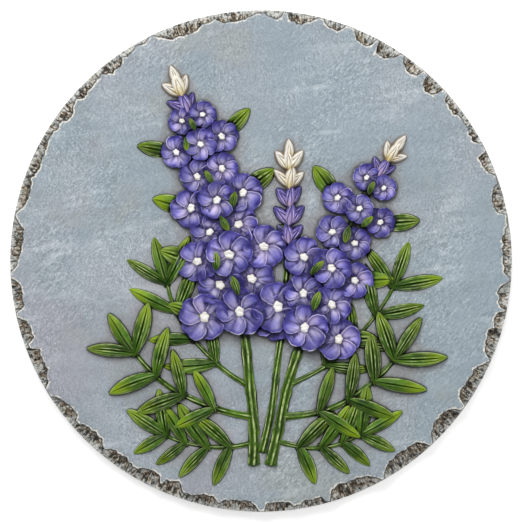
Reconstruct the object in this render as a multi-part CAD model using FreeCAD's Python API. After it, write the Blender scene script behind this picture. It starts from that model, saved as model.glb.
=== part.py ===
"""Round garden stepping stone: a cast slab with a chipped rim and a raised spray of flowers on its face.

The whole stone is one casting, so it is one solid. Lengths are in millimetres and angles in degrees.
The origin is the centre of the underside, +Z points up out of the face and +Y to the top of the picture.
"""
import FreeCAD, Part
import math
import os
from FreeCAD import Vector

# Slab
DIAMETER = 304.8            # across the underside, a 12 inch stone
SLAB_THICKNESS = 19.0       # underside to face
SIDE_DRAFT = 1.5            # how far the side leans in between underside and face
FOOT_CHAMFER = 1.5          # around the underside
FACE_CHAMFER = 1.0          # around the face, between the chips

# Chips along the rim: angle of the middle, length along the rim, bite into the face
RIM_CHIPS = (
    (2, 33, 5.0), (14.5, 20, 6.8), (23, 16, 6.0), (31.5, 18, 3.8), (38.5, 17, 4.0), (45.7, 13, 8.0),
    (52.3, 15, 6.2), (58.8, 15, 7.6), (65.2, 15, 6.0), (72.8, 14, 4.4), (80.3, 19, 5.4), (87.2, 13, 4.6),
    (96, 28, 5.2), (103, 15, 4.4), (109.5, 32, 7.2), (122.5, 14, 3.2), (127.5, 18, 6.4), (134.5, 26, 4.6),
    (142.3, 15, 6.6), (147.5, 16, 4.0), (152.5, 15, 4.6), (157.5, 15, 5.8), (164.5, 24, 5.4), (174.5, 25, 6.4),
    (180, 13, 5.2), (188, 21, 6.0), (196.5, 18, 6.0), (205.5, 27, 6.6), (217, 22, 6.2), (226, 23, 7.0),
    (234.5, 26, 6.8), (242, 20, 8.4), (249, 17, 8.2), (256, 22, 5.4), (264.5, 26, 6.0), (274.5, 20, 5.2),
    (281.5, 19, 4.2), (292.5, 34, 8.0), (306, 34, 8.2), (318.3, 26, 8.0), (330.5, 31, 7.4), (340.5, 21, 7.0),
    (346, 13, 6.0), (352, 18, 6.0),
)
CHIP_SLOPE = 1.2            # drop of a chip down the side, per length of bite
CHIP_ROUND = 0.42           # most that a chip drops, per length along the rim
BALL_TILT = -45.0           # of the ball that scoops a chip

# Relief, heights above the face
SINK = 2.0                  # how deep every raised form is rooted in the slab
BLADE_FALL = 20.0           # slope of the halves of a leaf, bract or bud down from the midrib
BLADE_LAP = 2.5             # how far a leaf or bud starts behind the middle of its stalk

# Leaf sprigs: foot, tip and bow of the stalk, and how far the sprig lies above the one below it
SPRIGS = (
    ((-3, -108), (-58, -104), 6, 0.0),
    ((-5, -93), (-77, -54), 9, 1.6),
    ((-8, -74), (-57, -12), 9, 0.0),
    ((8, -108), (61, -104), -6, 0.0),
    ((13, -94), (81, -58), -9, 1.6),
    ((21, -72), (80, -14), -8, 0.0),
)
SPRIG_RADIUS = 1.8
LEAFLET_LENGTH = 32.5
LEAFLET_WIDTH = 11.0
LEAFLET_HEIGHT = 3.6
LEAFLET_ANGLE = 52.0                # between a leaflet and its stalk
LEAFLET_PAIRS = (0.36, 0.64, 0.92)  # places of the leaflet pairs along a stalk

# Flower spikes: foot, tip, bow and radius of the stem, rows of bud pairs, rows of open florets, their start
# along the stem and their sizes from first to last
SPIKES = (
    {"foot": (-4, -124), "tip": (-50, 106), "bow": -11, "stem": 3.6, "buds": 2,
     "rows": 8, "start": 0.40, "first": 31, "last": 18},
    {"foot": (6, -124), "tip": (80, 66), "bow": 11, "stem": 3.6, "buds": 2,
     "rows": 6, "start": 0.42, "first": 28, "last": 17},
    {"foot": (1, -116), "tip": (17, 62), "bow": -5, "stem": 2.4, "buds": 4, "rows": 0},
)
PETALS = 5
ROW_SPREAD = 0.72           # sideways step of a side floret, per floret size
FLORET_NOTCH = 0.15         # depth of the notch between two petals, per floret size
FLORET_RISE_MIDDLE = 5.6    # hollow of a floret on the stem
FLORET_RISE_SIDE = 3.0      # hollow of a floret beside the stem
FLORET_CUP = 11.0           # slope of each petal up from the hollow
FLORET_LEAN = 11.0          # slope of a side floret away from the stem
FLORET_TURN = 36.0          # turn from one row of florets to the next
EYE_FOOT = 2.9              # radius of a floret's eye where it is rooted
EYE_TOP = 1.5               # radius of its top
EYE_HEIGHT = 2.0            # above the hollow
BRACT_LENGTH = 26.0
BRACT_WIDTH = 10.0
BRACT_HEIGHT = 4.0
BRACT_ANGLE = 66.0          # between a bract and the stem
BUD_LENGTH = 16.5
BUD_WIDTH = 7.4
BUD_HEIGHT = 4.6
BUD_ANGLE = 38.0            # between a bud and the stem
BUD_PITCH = 13.0            # stem taken up by each pair of buds

FACE = SLAB_THICKNESS
RIM = DIAMETER / 2 - SIDE_DRAFT


def polar(radius, degrees, height=0.0):
    """Point at a radius and an angle about the slab's axis."""
    angle = math.radians(degrees)
    return Vector(radius * math.cos(angle), radius * math.sin(angle), height)


def beside(point, degrees, distance):
    """Point at a distance from another, in a direction on the face."""
    return point + polar(distance, degrees)


def stalk_arc(foot, tip, bow):
    """Arc on the face from foot to tip, standing off its chord by bow to the left."""
    start, end = Vector(*foot, FACE), Vector(*tip, FACE)
    chord = end - start
    left = Vector(-chord.y, chord.x, 0).normalize()
    return Part.Arc(start, start + chord * 0.5 + left * bow, end)


def along(arc, share):
    """Point and heading, in degrees, at a share of the way along an arc."""
    place = arc.FirstParameter + share * (arc.LastParameter - arc.FirstParameter)
    tangent = arc.tangent(place)[0]
    return arc.value(place), math.degrees(math.atan2(tangent.y, tangent.x))


def slab():
    """Turned slab with a leaning side and chamfered edges."""
    foot = DIAMETER / 2
    outline = [
        Vector(0, 0, 0),
        Vector(foot - FOOT_CHAMFER, 0, 0),
        Vector(foot, 0, FOOT_CHAMFER),
        Vector(RIM, 0, FACE - FACE_CHAMFER),
        Vector(RIM - FACE_CHAMFER, 0, FACE),
        Vector(0, 0, FACE),
    ]
    section = Part.Face(Part.makePolygon(outline + outline[:1]))
    return section.revolve(Vector(0, 0, 0), Vector(0, 0, 1), 360)


def chip(degrees, length, bite):
    """Ball that scoops one chip out of the rim: its circle in the face has that length and bite.

    The ball is tilted so that its poles and its seam stay clear of the stone.
    """
    scallop = (length ** 2 / 4 + bite ** 2) / (2 * bite)
    drop = min(CHIP_SLOPE * bite, CHIP_ROUND * length)
    lift = (length ** 2 / 4 - drop ** 2) / (2 * drop)
    ball = Part.makeSphere(math.hypot(scallop, lift))
    ball.rotate(Vector(0, 0, 0), Vector(0, 1, 0), BALL_TILT)
    ball.rotate(Vector(0, 0, 0), Vector(0, 0, 1), degrees)
    ball.translate(polar(RIM - bite + scallop, degrees, FACE + lift))
    return ball


def stalk(arc, radius):
    """Round stalk along an arc, half sunk in the face."""
    point, heading = along(arc, 0)
    ring = Part.makeCircle(radius, point, polar(1, heading))
    return Part.Wire(arc.toShape()).makePipeShell([Part.Wire(ring)], True, True)


def blade(foot, heading, length, width, height):
    """Leaf, bract or bud: pointed at both ends, with upright edges and a roof that falls from its midrib."""
    half = width / 2
    root = beside(Vector(foot.x, foot.y, FACE - SINK), heading, -BLADE_LAP)
    tip = beside(root, heading, length)
    middle = beside(root, heading, length / 2)
    edges = [Part.Arc(root, beside(middle, heading + turn, half), tip).toShape() for turn in (90, -90)]
    ridge = SINK + height
    eaves = ridge - half * math.tan(math.radians(BLADE_FALL))
    gable = [(-half, 0), (half, 0), (half, eaves), (0, ridge), (-half, eaves)]
    corners = [beside(root, heading + 90, across) + Vector(0, 0, up) for across, up in gable]
    roof = Part.Face(Part.makePolygon(corners + corners[:1])).extrude(tip - root)
    return Part.Face(Part.Wire(edges)).extrude(Vector(0, 0, ridge)).common(roof)


def floret(centre, rise, size, turn, side_heading, lean):
    """Lobed flower: an upright body whose petals slope up from a hollow, leaning as a whole to one side."""
    root = Vector(centre.x, centre.y, FACE - SINK)
    step = 360 / PETALS
    tip = size / 2
    notch = tip - FLORET_NOTCH * size
    lobes = [
        Part.Arc(
            beside(root, turn + step * (petal - 0.5), notch),
            beside(root, turn + step * petal, tip),
            beside(root, turn + step * (petal + 0.5), notch),
        ).toShape()
        for petal in range(PETALS)
    ]
    body = Part.Face(Part.Wire(lobes)).extrude(Vector(0, 0, SINK + rise + tip))

    hollow = Vector(0, 0, 0)
    brim_height = size * math.tan(math.radians(FLORET_CUP))
    brim = [polar(size, turn + step * (petal + 0.5), brim_height) for petal in range(PETALS)]
    slopes = [Part.Face(Part.makePolygon([hollow, brim[k - 1], brim[k], hollow])) for k in range(PETALS)]
    mouth = Part.Face(Part.makePolygon(brim + brim[:1]))
    cup = [Part.Solid(Part.Shell(slopes + [mouth])), mouth.extrude(Vector(0, 0, size))]
    for space in cup:
        space.rotate(hollow, polar(1, side_heading + 90), lean)
        space.translate(Vector(centre.x, centre.y, FACE + rise))
    return body.cut(cup)


def flower_head(spike):
    """Stem with rows of florets, three and two by turns, bracts beside them, and bud pairs up to its tip."""
    arc = stalk_arc(spike["foot"], spike["tip"], spike["bow"])
    crown = 1 - BUD_PITCH * spike["buds"] / arc.length()
    forms = [stalk(arc, spike["stem"])]
    for row in range(spike["rows"]):
        share = row / (spike["rows"] - 1)
        size = spike["first"] + (spike["last"] - spike["first"]) * share
        point, heading = along(arc, spike["start"] + (crown - spike["start"]) * share)
        turn = heading + FLORET_TURN * row
        for side in ((-1, 0, 1) if row % 2 == 0 else (-0.5, 0.5)):
            centre = beside(point, heading - 90, side * ROW_SPREAD * size)
            rise = FLORET_RISE_MIDDLE + (FLORET_RISE_SIDE - FLORET_RISE_MIDDLE) * abs(side)
            forms.append(floret(centre, rise, size, turn, heading - 90, FLORET_LEAN * side))
            root = Vector(centre.x, centre.y, FACE + rise - SINK)
            forms.append(Part.makeCone(EYE_FOOT, EYE_TOP, SINK + EYE_HEIGHT, root))
            if abs(side) == 1:
                outwards = heading - BRACT_ANGLE * side
                forms.append(blade(centre, outwards, BRACT_LENGTH, BRACT_WIDTH, BRACT_HEIGHT))
    for pair in range(spike["buds"]):
        point, heading = along(arc, crown + (1 - crown) * (pair + 0.5) / spike["buds"])
        for turn in (-BUD_ANGLE, BUD_ANGLE):
            forms.append(blade(point, heading + turn, BUD_LENGTH, BUD_WIDTH, BUD_HEIGHT))
    point, heading = along(arc, 1)
    forms.append(blade(point, heading, BUD_LENGTH, BUD_WIDTH, BUD_HEIGHT))
    return forms


def leaf_sprig(foot, tip, bow, lift):
    """Stalk with pairs of leaflets and one at its end."""
    arc = stalk_arc(foot, tip, bow)
    pairs = [(share, turn) for share in LEAFLET_PAIRS for turn in (-LEAFLET_ANGLE, LEAFLET_ANGLE)]
    forms = [stalk(arc, SPRIG_RADIUS + lift / 2)]
    for share, turn in pairs + [(1, 0)]:
        point, heading = along(arc, share)
        forms.append(blade(point, heading + turn, LEAFLET_LENGTH, LEAFLET_WIDTH, LEAFLET_HEIGHT + lift))
    return forms


def stepping_stone():
    """Chipped slab and relief as one casting."""
    body = slab().cut([chip(*place) for place in RIM_CHIPS])
    relief = [form for spike in SPIKES for form in flower_head(spike)]
    relief += [form for sprig in SPRIGS for form in leaf_sprig(*sprig)]
    return body.multiFuse(relief)


os.makedirs("parts", exist_ok=True)
stone = stepping_stone()
print("solids", len(stone.Solids), "valid", stone.isValid(), "litres", stone.Volume / 1e6)
stone.exportStep("parts/stepping_stone.step")
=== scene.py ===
"""Looks of a round garden stepping stone: a chipped slate slab with a painted relief of flowers and leaves.

Shapes are worked out in millimetres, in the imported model's frame, and become metres when a mesh is made.
"""
import logging
import math
from dataclasses import dataclass, fields
from enum import Enum
from typing import Union

import bpy
import numpy as np
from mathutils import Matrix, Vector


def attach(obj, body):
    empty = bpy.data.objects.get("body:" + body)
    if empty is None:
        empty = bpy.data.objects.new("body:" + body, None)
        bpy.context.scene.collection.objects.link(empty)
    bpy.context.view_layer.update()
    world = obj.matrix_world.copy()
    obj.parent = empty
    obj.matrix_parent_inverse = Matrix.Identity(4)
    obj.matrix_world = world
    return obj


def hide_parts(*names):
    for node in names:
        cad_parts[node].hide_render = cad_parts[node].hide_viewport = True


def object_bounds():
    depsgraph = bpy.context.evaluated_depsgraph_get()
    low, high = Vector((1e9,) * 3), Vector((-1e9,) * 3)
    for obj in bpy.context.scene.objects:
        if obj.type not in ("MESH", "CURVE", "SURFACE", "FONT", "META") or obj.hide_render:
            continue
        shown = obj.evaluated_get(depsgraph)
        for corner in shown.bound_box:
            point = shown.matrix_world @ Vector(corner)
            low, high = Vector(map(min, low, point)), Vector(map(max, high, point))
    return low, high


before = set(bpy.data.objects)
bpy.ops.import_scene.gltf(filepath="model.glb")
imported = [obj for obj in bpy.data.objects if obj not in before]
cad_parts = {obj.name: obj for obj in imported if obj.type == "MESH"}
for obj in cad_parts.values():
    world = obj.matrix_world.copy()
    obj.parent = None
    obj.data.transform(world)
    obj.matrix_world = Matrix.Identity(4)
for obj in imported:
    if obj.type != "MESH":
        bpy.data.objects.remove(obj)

CAD_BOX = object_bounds()
BODY = "root"
NODE = "stepping_stone"
LOG = logging.getLogger("stepping_stone")

Array = np.ndarray
Colour = tuple[float, float, float, float]
Socket = bpy.types.NodeSocket
Input = Union[float, tuple, Socket]

MM = 0.001
DIAMETER = (CAD_BOX[1].x - CAD_BOX[0].x) / MM
FACE = 19.0                 # height of the face
SIDE_DRAFT = 1.5            # how far the side leans in between foot and face
FOOT_CHAMFER = 1.5
RIM = DIAMETER / 2 - SIDE_DRAFT
ROOT = FACE - 1.2           # where the raised forms end, inside the slab

# Chips along the rim: angle of the middle, length along the rim, bite into the face
RIM_CHIPS = np.array((
    (2, 33, 5.0), (14.5, 20, 6.8), (23, 16, 6.0), (31.5, 18, 3.8), (38.5, 17, 4.0), (45.7, 13, 8.0),
    (52.3, 15, 6.2), (58.8, 15, 7.6), (65.2, 15, 6.0), (72.8, 14, 4.4), (80.3, 19, 5.4), (87.2, 13, 4.6),
    (96, 28, 5.2), (103, 15, 4.4), (109.5, 32, 7.2), (122.5, 14, 3.2), (127.5, 18, 6.4), (134.5, 26, 4.6),
    (142.3, 15, 6.6), (147.5, 16, 4.0), (152.5, 15, 4.6), (157.5, 15, 5.8), (164.5, 24, 5.4),
    (174.5, 25, 6.4), (180, 13, 5.2), (188, 21, 6.0), (196.5, 18, 6.0), (205.5, 27, 6.6), (217, 22, 6.2),
    (226, 23, 7.0), (234.5, 26, 6.8), (242, 20, 8.4), (249, 17, 8.2), (256, 22, 5.4), (264.5, 26, 6.0),
    (274.5, 20, 5.2), (281.5, 19, 4.2), (292.5, 34, 8.0), (306, 34, 8.2), (318.3, 26, 8.0),
    (330.5, 31, 7.4), (340.5, 21, 7.0), (346, 13, 6.0), (352, 18, 6.0),
))
# Shallow bands of broken stone that join chips, given in the same way
RIM_BANDS = np.array((
    (35, 31, 3.0), (97, 42, 2.2), (128, 26, 3.0), (146, 112, 3.8), (176, 34, 3.4), (201, 38, 2.6),
    (241, 138, 4.4), (279, 36, 2.6), (343, 28, 3.2),
))
CHIP_SLOPE = 1.2            # drop of a chip down the side, per length of bite
CHIP_ROUND = 0.42           # most that a chip drops, per length along the rim


class Slot(Enum):
    """Material slots of the record."""

    SLATE = "slate_paint"
    PETAL = "petal_paint"
    LEAF = "leaf_paint"
    WHITE = "white_paint"


class SocketKind(Enum):
    """Kinds of socket that the shared node groups have."""

    COLOUR = "NodeSocketColor"
    VALUE = "NodeSocketFloat"
    VECTOR = "NodeSocketVector"


def srgb(red: float, green: float, blue: float) -> Colour:
    """Linear colour of a paint that is given by its display values, 0 to 255."""
    shares = [value / 255 for value in (red, green, blue)]
    linear = [s / 12.92 if s <= 0.04045 else ((s + 0.055) / 1.055) ** 2.4 for s in shares]
    return (*linear, 1.0)


def ease(values: Array, low: float, high: float) -> Array:
    """Smooth step: 0 below low, 1 above high, and 3t^2 - 2t^3 between them."""
    share = np.clip((values - low) / (high - low), 0, 1)
    return share * share * (3 - 2 * share)


def directions(angles: Array) -> Array:
    """Unit vectors on the face, as cosine and sine of each angle."""
    return np.stack([np.cos(angles), np.sin(angles)], axis=-1)


def leftward(ahead: Array) -> Array:
    """Unit vectors a quarter turn to the left of others."""
    return np.stack([-ahead[..., 1], ahead[..., 0]], axis=-1)


def lifted(flat: Array, heights: Union[Array, float]) -> Array:
    """Places in space: x and y as given, and the heights as z."""
    z = np.broadcast_to(heights, flat.shape[:-1])
    return np.concatenate([flat, z[..., None]], axis=-1)


class Grain:
    """Seeded noise on a lattice of random numbers, which repeats after a fixed count of cells."""

    CELLS = 64

    def __init__(self, seed: int) -> None:
        """Draws the lattice.

        Args:
            seed: start of the random draws.
        """
        draw = np.random.default_rng(seed)
        self.values = draw.random((self.CELLS,) * 3)
        self.jitter = draw.random((self.CELLS,) * 3 + (3,))

    def _cell(self, cells: Array) -> tuple[Array, Array, Array]:
        """Lattice index of whole-number cells, wrapped round."""
        wrapped = cells % self.CELLS
        return wrapped[..., 0], wrapped[..., 1], wrapped[..., 2]

    def soft(self, points: Array, size: float) -> Array:
        """Value noise: the eight lattice values around a point, eased between by 3t^2 - 2t^3.

        Args:
            points: places in millimetres, the last axis being x, y and z.
            size: width of a cell in millimetres.

        Returns:
            One number from -1 to 1 for each place.
        """
        place = points / size
        cell = np.floor(place).astype(int)
        share = place - cell
        eased = share * share * (3 - 2 * share)
        total = np.zeros(points.shape[:-1])
        for corner in np.ndindex(2, 2, 2):
            weight = np.prod(np.where(corner, eased, 1 - eased), axis=-1)
            total += weight * self.values[self._cell(cell + corner)]
        return 2 * total - 1

    def pebbles(self, points: Array, size: float) -> tuple[Array, Array]:
        """Cell noise: one pebble lies at random in each cell.

        Args:
            points: places in millimetres.
            size: width of a cell in millimetres.

        Returns:
            The distance to the nearest pebble's middle, per cell width, and that pebble's own random number.
        """
        place = points / size
        cell = np.floor(place).astype(int)
        nearest = np.full(points.shape[:-1], np.inf)
        number = np.zeros(points.shape[:-1])
        for step in np.ndindex(3, 3, 3):
            index = self._cell(cell + np.array(step) - 1)
            middle = cell + np.array(step) - 1 + self.jitter[index]
            gap = np.linalg.norm(place - middle, axis=-1)
            closer = gap < nearest
            nearest = np.where(closer, gap, nearest)
            number = np.where(closer, self.values[index], number)
        return nearest, number


@dataclass
class Shells:
    """A batch of closed surfaces, each worked out on a grid of rows and wrapped columns.

    The first row and the last are single points, which close a shell at its ends.

    Attributes:
        points: places in millimetres, indexed by shell, row, column and axis.
        marks: named numbers or vectors that the finishes read, indexed as the points are, or with one entry
            on an axis along which they don't change.
    """

    points: Array
    marks: dict[str, Array]

    def _flat(self, values: Array) -> Array:
        """Rows of each shell, one point after the other, followed by its two closing points."""
        shells, rows, columns = self.points.shape[:3]
        wide = values.reshape(shells, rows, columns, -1)
        rings = wide[:, 1:-1].reshape(shells, -1, wide.shape[-1])
        ends = wide[:, [0, -1]].mean(axis=2)
        return np.concatenate([rings, ends], axis=1).reshape(-1, wide.shape[-1])

    def _corners(self) -> tuple[Array, Array]:
        """Vertex numbers of all faces in a row, and how many each has: quads, and a fan at either end."""
        shells, rows, columns = self.points.shape[:3]
        count = (rows - 2) * columns
        ring = np.arange(count).reshape(rows - 2, columns)
        after = np.roll(ring, -1, axis=1)
        quads = np.stack([ring[:-1], ring[1:], after[1:], after[:-1]], axis=-1)
        first = np.stack([np.full(columns, count), ring[0], after[0]], axis=-1)
        last = np.stack([np.full(columns, count + 1), after[-1], ring[-1]], axis=-1)
        each = np.concatenate([quads.ravel(), first.ravel(), last.ravel()])
        sizes = np.repeat((4, 3), ((rows - 3) * columns, 2 * columns))
        return (each + np.arange(shells)[:, None] * (count + 2)).ravel(), np.tile(sizes, shells)

    def piece(self, name: str) -> bpy.types.Object:
        """Puts the surfaces into one mesh object, in metres.

        Args:
            name: name of the object.

        Returns:
            The object, at the origin and in the scene.
        """
        mesh = bpy.data.meshes.new(name)
        places = self._flat(self.points) * MM
        corners, sizes = self._corners()
        mesh.vertices.add(len(places))
        mesh.vertices.foreach_set("co", places.astype(np.float32).ravel())
        mesh.loops.add(len(corners))
        mesh.loops.foreach_set("vertex_index", corners.astype(np.int32))
        mesh.polygons.add(len(sizes))
        mesh.polygons.foreach_set("loop_start", (np.cumsum(sizes) - sizes).astype(np.int32))
        mesh.update(calc_edges=True)
        mesh.polygons.foreach_set("use_smooth", np.ones(len(sizes), dtype=bool))
        for mark, values in self.marks.items():
            flat = self._flat(np.broadcast_to(values, self.points.shape[:3] + values.shape[3:]))
            vector = flat.shape[1] == 3
            layer = mesh.attributes.new(mark, "FLOAT_VECTOR" if vector else "FLOAT", "POINT")
            layer.data.foreach_set("vector" if vector else "value", flat.astype(np.float32).ravel())
        thing = bpy.data.objects.new(name, mesh)
        bpy.context.scene.collection.objects.link(thing)
        return thing


class Board:
    """A node tree that is being wired. Most methods add one node and give back the socket it puts out."""

    def __init__(self, tree: bpy.types.NodeTree) -> None:
        """Starts on a tree.

        Args:
            tree: the material's or the group's nodes.
        """
        self.tree = tree

    def add(self, kind: str, **settings: object) -> bpy.types.Node:
        """Adds a node.

        Args:
            kind: Blender's name for the kind of node.
            settings: properties of the node.

        Returns:
            The node.
        """
        node = self.tree.nodes.new(kind)
        for name, value in settings.items():
            setattr(node, name, value)
        return node

    def feed(self, socket: Socket, value: Input) -> None:
        """Links a socket into another, or sets its value."""
        if isinstance(value, Socket):
            self.tree.links.new(value, socket)
        else:
            socket.default_value = value

    def place(self) -> Socket:
        """Object coordinates, in metres."""
        return self.add("ShaderNodeTexCoord").outputs["Object"]

    def mark(self, name: str) -> Socket:
        """A number that the mesh carries."""
        return self.add("ShaderNodeAttribute", attribute_name=name).outputs["Fac"]

    def skin(self) -> Socket:
        """Coordinates along and across a raised form, in metres."""
        return self.add("ShaderNodeAttribute", attribute_name="skin").outputs["Vector"]

    def stretch(self, vector: Input, scale: tuple, turn: float = 0.0) -> Socket:
        """Coordinates scaled along axes that are turned about Z, in degrees."""
        node = self.add("ShaderNodeMapping", vector_type="TEXTURE")
        self.feed(node.inputs["Vector"], vector)
        node.inputs["Rotation"].default_value = (0, 0, math.radians(turn))
        node.inputs["Scale"].default_value = tuple(1 / share for share in scale)
        return node.outputs["Vector"]

    def noise(self, vector: Input, scale: Input, detail: float = 2.0, warp: float = 0.0) -> Socket:
        """Cloudy noise.

        Args:
            vector: coordinates.
            scale: clouds to the metre.
            detail: count of finer layers.
            warp: how far the clouds are twisted.

        Returns:
            A value around 0.5.
        """
        node = self.add("ShaderNodeTexNoise")
        self.feed(node.inputs["Vector"], vector)
        self.feed(node.inputs["Scale"], scale)
        node.inputs["Detail"].default_value = detail
        node.inputs["Distortion"].default_value = warp
        return node.outputs["Fac"]

    def ramp(self, value: Input, low: float, high: float, start: float = 0.0, end: float = 1.0) -> Socket:
        """Smooth step from start to end as a value goes from low to high."""
        node = self.add("ShaderNodeMapRange", interpolation_type="SMOOTHSTEP")
        self.feed(node.inputs["Value"], value)
        for name, number in zip(("From Min", "From Max", "To Min", "To Max"), (low, high, start, end)):
            node.inputs[name].default_value = number
        return node.outputs["Result"]

    def sum(self, first: Input, second: Input, kind: str = "ADD") -> Socket:
        """Two values added, or taken together as kind says."""
        node = self.add("ShaderNodeMath", operation=kind)
        self.feed(node.inputs[0], first)
        self.feed(node.inputs[1], second)
        return node.outputs["Value"]

    def product(self, first: Input, second: Input) -> Socket:
        """Two values multiplied."""
        return self.sum(first, second, "MULTIPLY")

    def mix(self, share: Input, under: Input, over: Input, kind: str = "MIX") -> Socket:
        """One colour laid over another, as far as share says."""
        node = self.add("ShaderNodeMix", data_type="RGBA", blend_type=kind)
        self.feed(node.inputs[0], share)
        self.feed(node.inputs[6], under)
        self.feed(node.inputs[7], over)
        return node.outputs[2]

    def blend(self, share: Input, first: Input, second: Input) -> Socket:
        """Value between two others, as far towards the second as share says."""
        node = self.add("ShaderNodeMix", data_type="FLOAT")
        self.feed(node.inputs[0], share)
        self.feed(node.inputs[2], first)
        self.feed(node.inputs[3], second)
        return node.outputs[0]

    def bands(self, value: Input, stops: tuple[tuple[float, Colour], ...]) -> Socket:
        """Colour that runs through stops as a value goes from 0 to 1."""
        node = self.add("ShaderNodeValToRGB")
        elements = node.color_ramp.elements
        for place, _ in stops[2:]:
            elements.new(place)
        for element, (place, colour) in zip(elements, stops):
            element.position = place
            element.color = colour
        self.feed(node.inputs["Fac"], value)
        return node.outputs["Color"]

    def bright(self, colour: Input, value: Input) -> Socket:
        """Colour made brighter or darker by a factor."""
        node = self.add("ShaderNodeHueSaturation")
        self.feed(node.inputs["Color"], colour)
        self.feed(node.inputs["Value"], value)
        return node.outputs["Color"]

    def seen(self) -> Socket:
        """1 for the rays that show a surface to the camera: straight, mirrored and through glass."""
        path = self.add("ShaderNodeLightPath").outputs
        seen = self.sum(path["Is Camera Ray"], path["Is Glossy Ray"], "MAXIMUM")
        return self.sum(seen, path["Is Transmission Ray"], "MAXIMUM")

    def group(self, tree: bpy.types.NodeTree, **inputs: Input) -> bpy.types.Node:
        """Places a shared effect with its own values."""
        node = self.add("ShaderNodeGroup", node_tree=tree)
        for name, value in inputs.items():
            self.feed(node.inputs[name], value)
        return node


class Effects:
    """Node groups that several finishes use, each built once."""

    def __init__(self) -> None:
        """Builds the groups."""
        self.mottle = self._mottle()
        # Dark group for recesses, grooves and walls: thin dark paint and painted shade together.
        self.wash_and_shade = self._wash_and_shade()
        self.dry_brush = self._dry_brush()

    def washed_and_shaded(self, board: Board, place: Input, colour: Input, stain_and_shade: Colour, depth: Input) -> Socket:
        """Lays the dark paint and painted shade over a colour, as deep as depth says."""
        node = board.group(self.wash_and_shade, Vector=place, Colour=colour, Stain=stain_and_shade, Depth=depth)
        return node.outputs["Colour"]

    def edged(
        self, board: Board, place: Input, colour: Input, chalk: Colour, edge: Input, grain: float
    ) -> Socket:
        """Drags pale paint over a colour where edge says."""
        node = board.group(self.dry_brush, Vector=place, Colour=colour, Chalk=chalk, Edge=edge, Grain=grain)
        return node.outputs["Colour"]

    @staticmethod
    def _start(
        name: str, inputs: dict[str, SocketKind], outputs: dict[str, SocketKind]
    ) -> tuple[Board, dict[str, Socket], dict[str, Socket]]:
        """Makes an empty group.

        Args:
            name: name of the group.
            inputs: kinds of its input sockets, by name.
            outputs: kinds of its output sockets, by name.

        Returns:
            The board, the sockets that carry the inputs, and the sockets that take the outputs.
        """
        tree = bpy.data.node_groups.new(name, "ShaderNodeTree")
        for side, sockets in (("INPUT", inputs), ("OUTPUT", outputs)):
            for label, kind in sockets.items():
                tree.interface.new_socket(name=label, in_out=side, socket_type=kind.value)
        board = Board(tree)
        given = board.add("NodeGroupInput").outputs
        taken = board.add("NodeGroupOutput").inputs
        return board, {label: given[label] for label in inputs}, {label: taken[label] for label in outputs}

    def _mottle(self) -> bpy.types.NodeTree:
        """Hand-mixed paint: soft patches of a lighter and a darker tone, and a fine grain."""
        board, given, taken = self._start(
            "hand_mottled_paint",
            {"Vector": SocketKind.VECTOR, "Base": SocketKind.COLOUR, "Light": SocketKind.COLOUR,
             "Dark": SocketKind.COLOUR, "Patch": SocketKind.VALUE, "Grain": SocketKind.VALUE},
            {"Colour": SocketKind.COLOUR, "Height": SocketKind.VALUE},
        )
        apart = board.add("ShaderNodeVectorMath", operation="ADD")
        board.feed(apart.inputs[0], given["Vector"])
        apart.inputs[1].default_value = (0.37, 0.71, 0.13)
        lights = board.noise(given["Vector"], given["Patch"], 5.0, 0.6)
        darks = board.noise(apart.outputs["Vector"], given["Patch"], 5.0, 0.6)
        grain = board.noise(given["Vector"], given["Grain"], 3.0)
        colour = board.mix(board.ramp(lights, 0.42, 0.66), given["Base"], given["Light"])
        colour = board.mix(board.ramp(darks, 0.46, 0.70), colour, given["Dark"])
        colour = board.bright(colour, board.ramp(grain, 0.25, 0.75, 0.84, 1.14))
        board.feed(taken["Colour"], colour)
        board.feed(taken["Height"], grain)
        return board.tree

    def _wash_and_shade(self) -> bpy.types.NodeTree:
        """Thin dark paint with painted shade that gathers in recesses, broken by a cloudy noise."""
        board, given, taken = self._start(
            "antique_wash_and_painted_shade",
            {"Vector": SocketKind.VECTOR, "Colour": SocketKind.COLOUR, "Stain": SocketKind.COLOUR,
             "Depth": SocketKind.VALUE},
            {"Colour": SocketKind.COLOUR},
        )
        cloud = board.noise(given["Vector"], 260.0, 3.0)
        share = board.product(given["Depth"], board.ramp(cloud, 0.25, 0.75, 0.65, 1.25))
        share = board.sum(share, 1.0, "MINIMUM")
        board.feed(taken["Colour"], board.mix(share, given["Colour"], given["Stain"]))
        return board.tree

    def _dry_brush(self) -> bpy.types.NodeTree:
        """Pale paint dragged over raised edges, which catches here and there."""
        board, given, taken = self._start(
            "dry_brushed_edge",
            {"Vector": SocketKind.VECTOR, "Colour": SocketKind.COLOUR, "Chalk": SocketKind.COLOUR,
             "Edge": SocketKind.VALUE, "Grain": SocketKind.VALUE},
            {"Colour": SocketKind.COLOUR},
        )
        cloud = board.noise(given["Vector"], given["Grain"], 3.0)
        catch = board.product(given["Edge"], board.ramp(cloud, 0.3, 0.7, 0.45, 1.25))
        share = board.ramp(catch, 0.25, 0.85)
        board.feed(taken["Colour"], board.mix(share, given["Colour"], given["Chalk"]))
        return board.tree


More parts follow.
